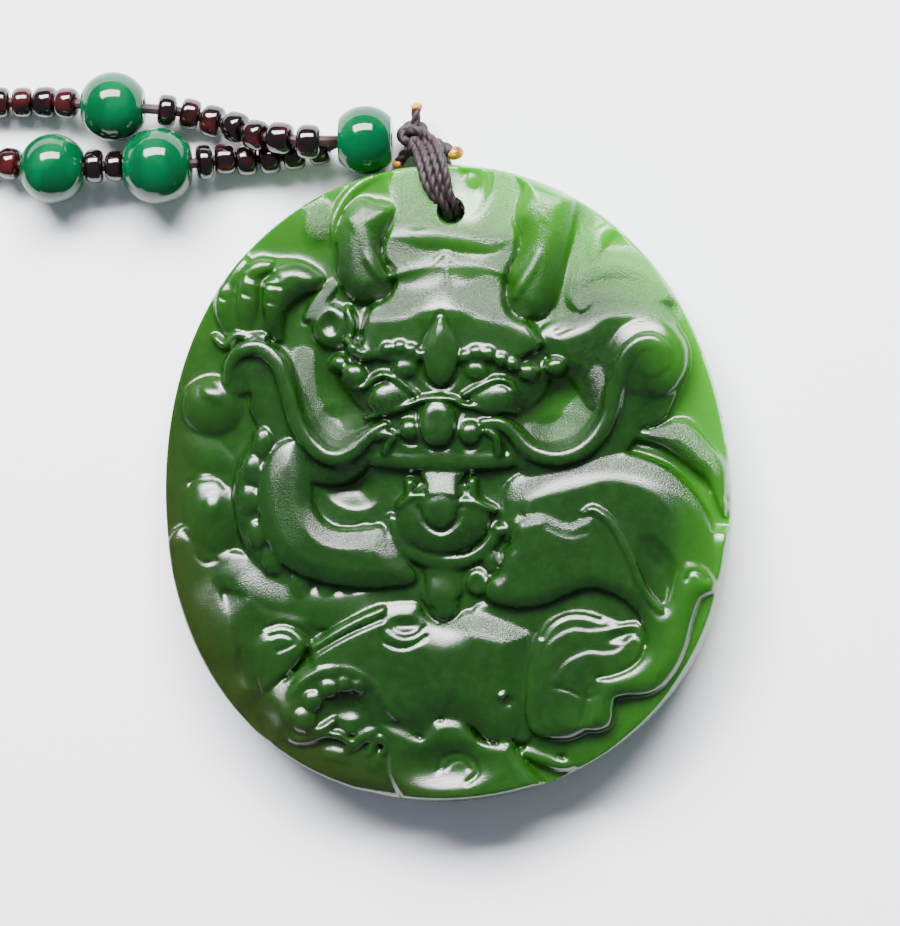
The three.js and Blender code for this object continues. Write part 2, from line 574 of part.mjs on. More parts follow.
// Beads rest on the same surface as the plaque. The top bead lies beside the rim.
const topBead = V(-7.5, 0, TOP_BEAD.width / 2);
topBead.y = rimAbove(topBead.x) + TOP_BEAD.width / 2 + CLEARANCE;
const lead = topBead.y; // the strands keep their places beside the top bead
const greenBeads = [
  { name: 'green_bead_1', size: GREEN_BEAD, at: V(-26.4, lead - 2.3, GREEN_BEAD.width / 2) },
  { name: 'green_bead_2', size: END_BEAD, at: V(-36.05, lead - 2.5, END_BEAD.width / 2) },
  { name: 'green_bead_3', size: END_BEAD, at: V(-30.5, lead + 3.1, END_BEAD.width / 2) },
];
const ALONG = V(-1, 0, 0);
addPart('top_bead', placedAlong(beadGeometry(TOP_BEAD), topBead, ALONG), GREEN_GLASS);
for (const { name, size, at } of greenBeads) {
  addPart(name, placedAlong(beadGeometry(size), at, ALONG), GREEN_GLASS);
}

// A closed body through elliptical sections, each given by its middle, half its width and
// half its thickness. The width runs along a fixed direction, as far as the path lets it.
function loft(sections, across, sides) {
  const positions = [];
  const triangles = [];
  sections.forEach(({ at, wide, thick, way }) => {
    const side = across.clone().addScaledVector(way, -across.dot(way)).normalize();
    const up = way.clone().cross(side);
    for (let s = 0; s < sides; s++) {
      const a = (2 * Math.PI * s) / sides;
      const p = at.clone().addScaledVector(side, wide * Math.cos(a)).addScaledVector(up, thick * Math.sin(a));
      positions.push(p.x, p.y, p.z);
    }
  });
  const last = sections.length - 1;
  for (let k = 0; k < last; k++) {
    for (let s = 0; s < sides; s++) {
      const [a, b] = [k * sides + s, k * sides + ((s + 1) % sides)];
      triangles.push(a, b, b + sides, a, b + sides, a + sides);
    }
  }
  for (let s = 1; s < sides - 1; s++) {
    triangles.push(0, s + 1, s);
    triangles.push(last * sides, last * sides + s, last * sides + s + 1);
  }
  return closedGeometry(positions, triangles);
}

function regularSection(radius, sides) {
  const points = [];
  for (let k = 0; k < sides; k++) {
    const a = (2 * Math.PI * k) / sides;
    points.push(new THREE.Vector2(radius * Math.cos(a), radius * Math.sin(a)));
  }
  return new THREE.Shape(points);
}

// A round tube through points
function tubeGeometry(points, radius, sides, steps) {
  const extrudePath = new THREE.CatmullRomCurve3(points, false, 'centripetal');
  return new THREE.ExtrudeGeometry(regularSection(radius, sides), { steps, extrudePath });
}

// Black beads threaded close on a stretch of cord, one after the other, with the cord's
// first millimetres left bare
function beadRun(points, count, bare = 0) {
  const curve = new THREE.CatmullRomCurve3(points, false, 'centripetal');
  const whole = curve.getLength();
  const [thread, end, middle] = [0.5 * CORD, 0.4 * BLACK_BEAD.width, 0.5 * BLACK_BEAD.width];
  const apart = (whole - bare) / count;
  const half = Math.min(BLACK_BEAD.long, 0.9 * apart) / 2;
  const steps = [[0, thread]];
  for (let k = 0; k < count; k++) {
    const at = bare + apart * (k + 0.5);
    steps.push([at - half, thread], [at - half, end], [at, middle], [at + half, end], [at + half, thread]);
  }
  steps.push([whole, thread]);
  const sections = steps.map(([at, radius]) => ({
    at: curve.getPointAt(at / whole), way: curve.getTangentAt(at / whole), wide: radius, thick: radius,
  }));
  return loft(sections, V(0, 1, 0), 7);
}

// The face of a bead that a strand leaves from or comes to, with the clearance
function beadEnd(centre, size, side, up = 0) {
  return V(centre.x + side * (size.long / 2 + CLEARANCE), centre.y, centre.z + up);
}

const LOW = BLACK_BEAD.width / 2 + 0.05; // a strand that lies on the surface
const stacked = LOW + BLACK_BEAD.width; // a strand that lies on another
const [green1, green2, green3] = greenBeads.map((b) => b.at);

addPart('black_beads_upper', beadRun([
  beadEnd(topBead, TOP_BEAD, -1, 0.9),
  V(-12.6, lead - 0.05, stacked + 0.45),
  V(-15.2, lead + 0.2, stacked + 0.15),
  V(-17.8, lead + 0.7, 3.5),
  V(-20.4, lead + 1.6, 2.0),
  V(-23.2, lead + 2.4, LOW + 0.2),
  V(-24.6, lead + 2.7, 1.9),
  V(-26.2, lead + 3.0, 2.8),
  beadEnd(green3, END_BEAD, 1),
], 8, 1.2), BLACK_GLASS);
addPart('black_beads_lower', beadRun([
  beadEnd(topBead, TOP_BEAD, -1, -0.75),
  V(-11.7, lead - 0.75, LOW + 0.05),
  V(-15.0, lead - 1.35, LOW),
  V(-18.4, lead - 1.8, LOW),
  V(-20.6, lead - 1.95, 2.2),
  V(-21.9, lead - 2.2, 3.1),
  beadEnd(green1, GREEN_BEAD, 1),
], 6, 0.7), BLACK_GLASS);
addPart('black_beads_end', beadRun([
  beadEnd(green1, GREEN_BEAD, -1),
  V(-31.3, lead - 2.35, 3.25),
  beadEnd(green2, END_BEAD, 1),
], 2), BLACK_GLASS);

// The necklace is coiled up flat, both strands side by side. The strands run on to it, each
// as one tube as thick as its beads.
const coil = V(-COIL_PAST - COIL_RADIUS, lead + UPPER_STRAND - COIL_RADIUS, GREEN_BEAD.width / 2);
const coilOuter = COIL_RADIUS + GREEN_BEAD.width / 2;

function strandToCoil(bead, size, y) {
  const thick = BLACK_BEAD.width / 2;
  const end = coil.x + Math.sqrt(coilOuter ** 2 - (y - thick - coil.y) ** 2) + CLEARANCE;
  return tubeGeometry([
    beadEnd(bead, size, -1),
    V(bead.x - size.long / 2 - 1.2, bead.y, bead.z),
    V(bead.x - size.long / 2 - 4.4, (bead.y + y) / 2, LOW + 0.4),
    V(bead.x - size.long / 2 - 7.6, y, LOW),
    V(end, y, LOW),
  ], thick - 0.1, 8, 8);
}

addPart('necklace_upper', strandToCoil(green3, END_BEAD, lead + UPPER_STRAND), BLACK_GLASS);
addPart('necklace_lower', strandToCoil(green2, END_BEAD, lead + UPPER_STRAND - STRAND_GAP), BLACK_GLASS);

const bevel = 0.35 * coil.z; // of the disc's two edges
const coilProfile = [
  V(0, -coil.z, 0), V(coilOuter - bevel, -coil.z, 0), V(coilOuter, bevel - coil.z, 0),
  V(coilOuter, coil.z - bevel, 0), V(coilOuter - bevel, coil.z, 0), V(0, coil.z, 0),
];
const coilDisc = new THREE.LatheGeometry(coilProfile, 24);
coilDisc.rotateX(Math.PI / 2);
coilDisc.translate(coil.x, coil.y, coil.z);
addPart('necklace_coil', asGeometry(asSolid(coilDisc)), BLACK_GLASS);

// The bail: four strands side by side, round in the hole and flat elsewhere. Each row is
// x and y from the hole, z, half the width and half the thickness of the bundle.
function bailGeometry() {
  const front = GROUND - 0.6 + CARVING * 0.08; // the face just below the hole
  const rows = [
    [-3.1, 6.6, 2.6, 1.1, 0.6],
    [-2.4, 5.75, 3.7, 1.35, 0.5],
    [-2.05, 5.1, GROUND - 0.45, 1.4, 0.47],
    [-1.75, 4.3, GROUND + 0.3, 1.4, 0.47],
    [-1.4, 3.0, front + 0.95, 1.4, 0.47],
    [-0.95, 1.7, front + 0.8, 1.25, 0.55],
    [-0.35, 0.65, front + 0.3, 0.95, 0.7],
    [0, 0, front - 0.9, 0.8, 0.8],
    [0, 0, front / 2 + 0.3, 0.78, 0.78],
    [0, 0.05, 1.75, 0.8, 0.78],
    [-0.15, 0.75, 0.8, 1.15, 0.55],
    [-0.7, 2.0, 0.62, 1.35, 0.46],
    [-1.5, 3.6, 0.62, 1.4, 0.46],
    [-2.1, 5.1, 0.8, 1.4, 0.5],
    [-2.9, 6.2, 1.5, 1.2, 0.6],
  ];
  const smoothRows = smooth(rows, false, 2);
  const sections = smoothRows.map(([x, y, z, wide, thick], k) => {
    const before = smoothRows[Math.max(k - 1, 0)];
    const after = smoothRows[Math.min(k + 1, smoothRows.length - 1)];
    const way = V(after[0] - before[0], after[1] - before[1], after[2] - before[2]).normalize();
    return { at: V(HOLE_X + x, HOLE_Y + y, z), way, wide, thick };
  });
  return loft(sections, V(0.91, 0.41, 0), 7);
}

const knot = V(topBead.x + TOP_BEAD.long / 2 + CLEARANCE + 1.7, lead + 0.2, 1.8);
const knotBall = new THREE.SphereGeometry(1, 9, 6);
knotBall.scale(1.7, 1.65, 1.75);
knotBall.translate(knot.x, knot.y, knot.z);

// Cut ends that stand out of the knot, each ending in a small melted bead
function stub(from, to) {
  const way = to.clone().sub(from).normalize();
  return placedAlong(new THREE.CylinderGeometry(0.5, 0.55, from.distanceTo(to), 6),
    from.clone().add(to).multiplyScalar(0.5), way);
}

addPart('bail_cord', joined([
  bailGeometry(),
  knotBall,
  stub(knot, V(knot.x + 0.2, knot.y + 2.4, knot.z + 0.5)),
  stub(knot, V(knot.x - 1.5, knot.y - 2.1, 0.75)),
  stub(knot, V(HOLE_X + 0.6, rimAbove(HOLE_X + 0.6) + 0.95, 3.0)),
]), CORD_BROWN);

export default pendant;
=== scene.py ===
# Jade dragon pendant, lying on its back with its beaded necklace. Metres; the sizes that are
# written here are in millimetres and are turned to metres where a mesh is made.
import math
import bpy
import numpy as np
from mathutils import Matrix, Vector


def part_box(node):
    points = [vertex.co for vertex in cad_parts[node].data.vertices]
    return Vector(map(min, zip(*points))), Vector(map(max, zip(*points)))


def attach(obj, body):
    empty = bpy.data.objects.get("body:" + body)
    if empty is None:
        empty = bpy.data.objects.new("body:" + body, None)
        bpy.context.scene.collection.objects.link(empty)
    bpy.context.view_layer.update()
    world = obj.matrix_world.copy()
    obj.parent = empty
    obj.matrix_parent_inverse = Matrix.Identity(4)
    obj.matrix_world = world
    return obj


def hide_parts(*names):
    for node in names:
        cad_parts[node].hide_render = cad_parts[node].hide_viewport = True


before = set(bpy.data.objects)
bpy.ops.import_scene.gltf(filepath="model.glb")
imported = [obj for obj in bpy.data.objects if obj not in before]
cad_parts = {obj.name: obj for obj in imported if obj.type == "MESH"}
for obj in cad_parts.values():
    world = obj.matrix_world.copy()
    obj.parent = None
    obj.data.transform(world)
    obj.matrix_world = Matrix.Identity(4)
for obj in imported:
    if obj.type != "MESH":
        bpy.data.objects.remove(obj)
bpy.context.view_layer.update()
MM = 0.001


# Camera: the pendant was seen from nearly straight above its face, with a long lens, a
# little from the upper right, so that the upright edge shows on that side.
PIXELS_PER_MM = 11.12
FRAME_TALL = 926
AIM = Vector((0.36, 1.94, 5.5)) * MM
LEAN = math.radians(5)
LEAN_TOWARDS = math.radians(25)
DISTANCE = 0.36
SENSOR = 36

camera_data = bpy.data.cameras.new("camera")
camera_data.sensor_width = SENSOR
camera_data.lens = SENSOR * DISTANCE / (FRAME_TALL / PIXELS_PER_MM * MM)
camera_data.clip_start = 0.01
camera = bpy.data.objects.new("camera", camera_data)
bpy.context.collection.objects.link(camera)
bpy.context.scene.camera = camera
tilt = math.sin(LEAN)
outward = Vector((tilt * math.cos(LEAN_TOWARDS), tilt * math.sin(LEAN_TOWARDS), math.cos(LEAN)))
side = Vector((0, 1, 0)).cross(outward).normalized()
upward = outward.cross(side)
turned = Matrix((side, upward, outward)).transposed().to_4x4()
camera.matrix_world = Matrix.Translation(AIM + outward * DISTANCE) @ turned


# Necklace thread: thin waxed polyester cord. Both strands leave the top bead on its left,
# run over the surface, and are wound up together, out of the view, in one flat coil.
THREAD = 0.9
STRAND_GAP = 5.0  # between the two strands' middles in the coil
BEAD_LOW = 1.45  # height of the thread where its small beads lie on the surface

top_bead_box = [np.array(c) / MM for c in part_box("top_bead")]
top_bead_middle = (top_bead_box[0] + top_bead_box[1]) / 2
coil_box = [np.array(c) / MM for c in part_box("necklace_coil")]
coil_middle = (coil_box[0] + coil_box[1]) / 2
green_width = coil_box[1][2]
coil_radius = (coil_box[1][0] - coil_box[0][0] - green_width) / 2
LEAD = top_bead_middle[1]


def smooth_rows(rows, steps, closed=False):
    """Cubic curve through the rows. Each stretch is worked out from its own two rows and the two
    beside them, so that it leaves a row in the direction of its neighbours; all columns alike."""
    p = np.asarray(rows, float)
    if closed:
        p = np.vstack([p[-1:], p, p[:2]])
    else:
        p = np.vstack([2 * p[0] - p[1], p, 2 * p[-1] - p[-2]])
    t = np.linspace(0, 1, steps, endpoint=False)[None, :, None]
    a, b, c, d = (q[:, None, :] for q in (p[:-3], p[1:-2], p[2:-1], p[3:]))
    curve = b + 0.5 * t * (c - a + t * (2 * a - 5 * b + 4 * c - d + t * (3 * (b - c) + d - a)))
    curve = curve.reshape(-1, p.shape[1])
    return curve if closed else np.vstack([curve, p[-2:-1]])


def lengths_along(path):
    """Length of the path from its start to each of its points."""
    return np.concatenate([[0], np.cumsum(np.linalg.norm(np.diff(path[:, :3], axis=0), axis=1))])


# The two strands as they lie in view, each point the middle of a bead: x from the plaque's
# middle, y from the top bead's, and height. Green beads are at x -30.5, -26.4 and -36.05.
upper_strand = [
    (-10.0, -0.05, 3.55), (-11.2, -0.1, 4.5), (-12.5, -0.2, 4.75), (-15.1, 0.15, 4.45),
    (-17.4, 0.45, 3.7), (-19.4, 1.25, 2.5), (-21.6, 1.85, 1.6), (-23.7, 2.5, 1.5), (-25.75, 2.8, 2.2),
    (-30.5, 3.1, 3.15), (-34.9, 3.5, 2.3), (-37.0, 3.6, 1.5), (-39.2, 3.6, 1.45), (-42.0, 3.6, 1.45)]
lower_strand = [
    (-10.0, -0.15, 2.6), (-10.9, -0.5, 1.9), (-11.9, -0.85, 1.5), (-14.2, -1.25, 1.45),
    (-16.4, -1.55, 1.45), (-18.5, -1.75, 1.45), (-20.5, -1.65, 1.7), (-22.3, -1.95, 2.4),
    (-26.4, -2.3, 3.45), (-30.35, -2.3, 2.9), (-32.3, -2.3, 2.9), (-36.05, -2.5, 3.15),
    (-40.2, -2.0, 2.2), (-42.3, -1.6, 1.5), (-45.0, -1.4, 1.45)]


def in_view(rows):
    """The strand's rows with y counted from the plaque's middle, as everything else is."""
    return np.array(rows) + [0, LEAD, 0]


# In the coil the strands lie side by side on a spiral, and an S of two half circles joins
# their inner ends.
TURNS = 2.1
turn = np.linspace(0, TURNS, 60)[:, None]
inner_turn = np.linspace(0, TURNS - 0.5, 46)[:, None]


def spiral(t, start_radius):
    """Radius falls by two strand gaps a turn, anticlockwise from the top of the coil."""
    r = start_radius - 2 * STRAND_GAP * t
    angle = math.pi / 2 + 2 * math.pi * t
    x = coil_middle[0] + r * np.cos(angle)
    y = coil_middle[1] + r * np.sin(angle)
    return np.hstack([x, y, 0 * t + BEAD_LOW])


outer_arm = spiral(turn, coil_radius)
inner_arm = spiral(inner_turn, coil_radius - STRAND_GAP)
centre = np.array([coil_middle[0], coil_middle[1], BEAD_LOW])
halfway = np.linspace(0, 1, 9)[1:-1, None] * math.pi
ahead = (outer_arm[-1] - centre) / 2
across_s = np.array([-ahead[1], ahead[0], 0])
first_half = centre + ahead + ahead * np.cos(halfway) + across_s * np.sin(halfway)
second_half = centre - ahead + ahead * np.cos(halfway) - across_s * np.sin(halfway)
approach = np.linspace(0, 1, 14)[1:-1, None]
upper_rows = in_view(upper_strand)
lower_rows = in_view(lower_strand)
upper_way = upper_rows[-1] + approach * (outer_arm[0] - upper_rows[-1])
lower_way = lower_rows[-1] + approach * (inner_arm[0] - lower_rows[-1])
thread_rows = np.vstack([
    upper_rows, upper_way, outer_arm, first_half, centre[None], second_half,
    inner_arm[::-1], lower_way[::-1], lower_rows[::-1],
])
thread_path = smooth_rows(thread_rows, steps=6)
thread_length = lengths_along(thread_path)

# Beads on the unseen length: groups of small black beads between single green ones. The
# thread rises to the middle of each green bead.
GREEN_LONG = 5.6
BLACK_STEP = 2.15
GROUPS = (7, 2)  # black beads in the groups, by turns
SEEN_UPPER = -38.0  # x at which the upper strand's seen beads end
SEEN_LOWER = -41.0  # the same for the lower strand, short of its end by a bead's step
SEEN_LENGTH = 60  # both places are looked for within this of the thread's ends
GREEN_LOW = green_width / 2 - 0.3  # height of the thread in the coil's green beads
RISE_REACH = 3.9  # the rise is down to about a third so far from a green bead's middle


def length_at(x, seen):
    """Length along the thread at which it passes x, among the marked points."""
    return thread_length[seen][np.argmin(np.abs(thread_path[seen, 0] - x))]


unseen_from = length_at(SEEN_UPPER, thread_length <= SEEN_LENGTH)
unseen_to = length_at(SEEN_LOWER, thread_length >= thread_length[-1] - SEEN_LENGTH)
black_at = []
green_at = []
place = unseen_from + BLACK_STEP / 2
group = 0
in_group = 0
while place < unseen_to - BLACK_STEP:
    black_at.append(place)
    in_group += 1
    if in_group == GROUPS[group % 2]:
        if place + GREEN_LONG + 2 * BLACK_STEP < unseen_to:
            green_at.append(place + BLACK_STEP / 2 + GREEN_LONG / 2)
            place += GREEN_LONG
        group += 1
        in_group = 0
    place += BLACK_STEP
away = np.abs(thread_length[:, None] - np.array(green_at)[None, :]).min(axis=1)
thread_path[:, 2] += (GREEN_LOW - BEAD_LOW) * np.exp(-(away / RISE_REACH) ** 4)


def frames_along(path, across):
    """Unit directions along the path, to its side and up from it. The side keeps as near to
    across as it can, which is one direction or a row of them."""
    way = np.gradient(path, axis=0)
    way /= np.linalg.norm(way, axis=1, keepdims=True)
    sideways = across - way * (way @ across)[:, None] if across.ndim == 1 else across
    sideways = sideways / np.linalg.norm(sideways, axis=1, keepdims=True)
    return way, sideways, np.cross(way, sideways)


def level_frames(path):
    """As frames_along, with the side kept level, square to the path seen from above."""
    way = np.gradient(path, axis=0)
    return frames_along(path, np.column_stack([-way[:, 1], way[:, 0], 0 * way[:, 0]]))


def skin(rings, along_closed=False):
    """Two triangles for each cell of a grid of points, rings by places around."""
    n, m = rings.shape[:2]
    index = np.arange(n * m).reshape(n, m)
    if along_closed:
        index = np.vstack([index, index[:1]])
    index = np.hstack([index, index[:, :1]])
    a, b = index[:-1, :-1].ravel(), index[:-1, 1:].ravel()
    c, d = index[1:, 1:].ravel(), index[1:, :-1].ravel()
    return np.vstack([np.column_stack([a, b, c]), np.column_stack([a, c, d])])


def closed_tube(rings):
    """Skin of the rings with a fan over each end."""
    n, m = rings.shape[:2]
    faces = skin(rings)
    around = np.arange(m)
    beside = np.roll(around, -1)
    first, last = n * m, n * m + 1
    start_fan = np.column_stack([np.full(m, first), beside, around])
    end_fan = np.column_stack([np.full(m, last), around + (n - 1) * m, beside + (n - 1) * m])
    points = np.vstack([rings.reshape(-1, 3), rings[0].mean(axis=0), rings[-1].mean(axis=0)])
    return points, np.vstack([faces, start_fan, end_fan])


def outward_faces(points, faces):
    """The faces turned so that the volume they enclose is positive."""
    a, b, c = (points[faces[:, k]] for k in range(3))
    volume = np.einsum("ij,ij->i", a, np.cross(b, c)).sum()
    return faces if volume > 0 else faces[:, ::-1]


def add_piece(name, parts, crease=40):
    """One object from a list of (points in mm, triangles), smooth but for its edges that are
    sharper than the crease angle."""
    points = []
    faces = []
    start = 0
    for part_points, part_faces in parts:
        points.append(part_points)
        faces.append(outward_faces(part_points, part_faces) + start)
        start += len(part_points)
    points = np.vstack(points) * MM
    faces = np.vstack(faces).astype(np.int32)
    mesh = bpy.data.meshes.new(name)
    mesh.vertices.add(len(points))
    mesh.vertices.foreach_set("co", points.astype(np.float32).ravel())
    mesh.loops.add(faces.size)
    mesh.loops.foreach_set("vertex_index", faces.ravel())
    mesh.polygons.add(len(faces))
    mesh.polygons.foreach_set("loop_start", np.arange(0, faces.size, 3, dtype=np.int32))
    mesh.polygons.foreach_set("use_smooth", np.ones(len(faces), bool))
    mesh.update(calc_edges=True)
    mesh.validate()
    mesh.set_sharp_from_angle(angle=math.radians(crease))
    piece = bpy.data.objects.new(name, mesh)
    bpy.context.collection.objects.link(piece)
    return piece


YARNS = 3  # yarns that show round a twisted cord


def tube(path, radius, around, frames=None, twist=0.0, depth=0.0):
    """Rings of the given radius round the path. With a depth, the radius falls by that share
    between the yarns, and the yarns turn by twist for each millimetre along."""
    _, sideways, up = frames or level_frames(path)
    angle = np.linspace(0, 2 * math.pi, around, endpoint=False)[None, :]
    along = lengths_along(path)[:, None]
    swell = 1 - depth * (1 - np.abs(np.cos(0.5 * YARNS * (angle - twist * along))))
    aside = np.cos(angle)[..., None] * sideways[:, None, :]
    above = np.sin(angle)[..., None] * up[:, None, :]
    return path[:, None, :] + (radius * swell)[..., None] * (aside + above)


def hex_colour(code):
    """Linear red, green, blue and 1 from an sRGB hex code."""
    s = np.array([int(code[k:k + 2], 16) / 255 for k in (1, 3, 5)])
    linear = np.where(s <= 0.04045, s / 12.92, ((s + 0.055) / 1.055) ** 2.4)
    return (*linear.tolist(), 1.0)


def add_node(tree, kind, inputs=None, **settings):
    """Adds a node to the tree; inputs holds plain values or the sockets to link."""
    node = tree.nodes.new(kind)
    for name, value in settings.items():
        setattr(node, name, value)
    for name, value in (inputs or {}).items():
        if isinstance(value, bpy.types.NodeSocket):
            tree.links.new(value, node.inputs[name])
        else:
            node.inputs[name].default_value = value
    return node


def new_material(name):
    """A material with an empty node tree, and the tree."""
    material = bpy.data.materials.new(name)
    material.use_nodes = True
    tree = material.node_tree
    tree.nodes.clear()
    return material, tree


def blend_colours(tree, factor, a, b):
    """A mix of two colours, each a hex code or a socket."""
    a = hex_colour(a) if isinstance(a, str) else a
    b = hex_colour(b) if isinstance(b, str) else b
    node = add_node(tree, "ShaderNodeMix", {0: factor, 6: a, 7: b}, data_type="RGBA")
    return node.outputs[2]


def spread(tree, value, low, high, to_low=0.0, to_high=1.0):
    """The value's range from low to high, carried to another range and held at its ends."""
    node = add_node(tree, "ShaderNodeMapRange", {
        "Value": value, "From Min": low, "From Max": high, "To Min": to_low, "To Max": to_high})
    return node.outputs["Result"]


def object_place(tree):
    return add_node(tree, "ShaderNodeTexCoord").outputs["Object"]


def noise(tree, per_mm, detail, roughness=0.5):
    """Soft noise fixed to the object, with so many of its largest spots to a millimetre."""
    node = add_node(tree, "ShaderNodeTexNoise", {
        "Vector": object_place(tree), "Scale": per_mm / MM, "Detail": detail, "Roughness": roughness})
    return node.outputs["Fac"]


def bump(tree, height, strength, deep, normal=None):
    """A normal that shows the height as relief, so many mm deep, on top of another normal."""
    inputs = {"Height": height, "Strength": strength, "Distance": deep * MM}
    if normal:
        inputs["Normal"] = normal
    return add_node(tree, "ShaderNodeBump", inputs).outputs["Normal"]


def add_shader(tree, inputs):
    """The surface shader with its inputs, linked to the material's output."""
    shader = add_node(tree, "ShaderNodeBsdfPrincipled", inputs)
    add_node(tree, "ShaderNodeOutputMaterial", {"Surface": shader.outputs["BSDF"]})


def braided_cord(name, light, gap_shade_and_dark_tone):
    """Braided polyester, matt and a little hairy: brown on its crowns, with painted shade that makes it
    nearly black between them, and slow patches of the darker tone.
    """
    material, tree = new_material(name)
    yarns = noise(tree, 4.5, 3, 0.6)
    worn = noise(tree, 0.9, 2)
    mix = add_node(tree, "ShaderNodeMath", {0: yarns, 1: worn}, operation="ADD")
    # Painted shade: the dark colour where the yarn bump is low, between the crowns; the slow noise adds
    # darker patches too
    add_shader(tree, {
        "Base Color": blend_colours(tree, spread(tree, mix.outputs[0], 0.75, 1.25), gap_shade_and_dark_tone, light),
        "Roughness": 0.62, "Sheen Weight": 0.35, "Sheen Roughness": 0.4,
        "Sheen Tint": hex_colour(light), "Normal": bump(tree, yarns, 0.5, 0.06)})
    return material


thread = add_piece("necklace_thread", [closed_tube(tube(thread_path, THREAD / 2, 8))])
thread.data.materials.append(braided_cord("thread_polyester", "#3a2224", "#150b0c"))
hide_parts("necklace_upper", "necklace_lower", "necklace_coil",
            "black_beads_upper", "black_beads_lower", "black_beads_end")
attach(thread, "root")


# Jade plaque: one slab of green nephrite, cut to an oval, with the dragon carved in relief
# by grinding, polished on its raised parts and left matt in the grounds between them.
plaque_box = [np.array(c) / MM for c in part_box("jade_plaque")]
PLAQUE_WIDE, PLAQUE_TALL, PLAQUE_THICK = plaque_box[1] - plaque_box[0]
GROUND = 5.4  # height of the sunk ground over the table
CARVING = 4.3  # height of the carving over its ground
RIM_TOP = 4.4  # height at which the face's roll begins at the outline
RIM_ROLL = 3.2  # how far in from the outline the roll reaches
BACK_RISE = 1.7  # how far the back's edge is lifted off the table
BACK_FLAT = 0.55  # share of the way out up to which the back is flat
HOLE_WIDTH = 2.3
HOLE_RIGHT = 0.45
HOLE_UP = PLAQUE_TALL / 2 - 4.15
DRAWN_WIDE = 51.2  # size of the plaque that the carving's lists are drawn for
DRAWN_TALL = 57.5
DRAWN_MIDDLE = (0.65, 0.3)  # from the plaque's middle to the drawing's
DRAWN_GROUND = 5.0  # the level that the heights in the carving's lists start from
CHISEL_STEP = 0.1  # spacing of the grid that the carving is worked out on
GRID_HALF_WIDE = 27
GRID_HALF_TALL = 30


def oval_radius(angle):
    """Mean radius 1 with four waves round it: an oval that is fuller below than above."""
    return (1 + 0.0046 * np.cos(angle) - 0.0049 * np.sin(angle) - 0.0574 * np.cos(2 * angle)
            - 0.0028 * np.sin(2 * angle) + 0.0033 * np.cos(3 * angle) - 0.0089 * np.sin(3 * angle)
            - 0.0070 * np.cos(4 * angle) - 0.0033 * np.sin(4 * angle))


whole_turn = np.linspace(0, 2 * math.pi, 1440, endpoint=False)
oval_x = oval_radius(whole_turn) * np.cos(whole_turn)
oval_y = oval_radius(whole_turn) * np.sin(whole_turn)
OVAL_MIDDLE = ((oval_x.max() + oval_x.min()) / 2, (oval_y.max() + oval_y.min()) / 2)
OVAL_SIZE = (oval_x.max() - oval_x.min(), oval_y.max() - oval_y.min())


def on_oval(share, angle):
    """Places at a share of the way from the middle to the outline."""
    r = share * oval_radius(angle)
    x = (r * np.cos(angle) - share * OVAL_MIDDLE[0]) / OVAL_SIZE[0] * PLAQUE_WIDE
    y = (r * np.sin(angle) - share * OVAL_MIDDLE[1]) / OVAL_SIZE[1] * PLAQUE_TALL
    return x, y


def eased(u):
    """From 0 to 1 as u goes from 0 to 1, level at both ends and past them."""
    u = np.clip(u, 0, 1)
    return u * u * (3 - 2 * u)


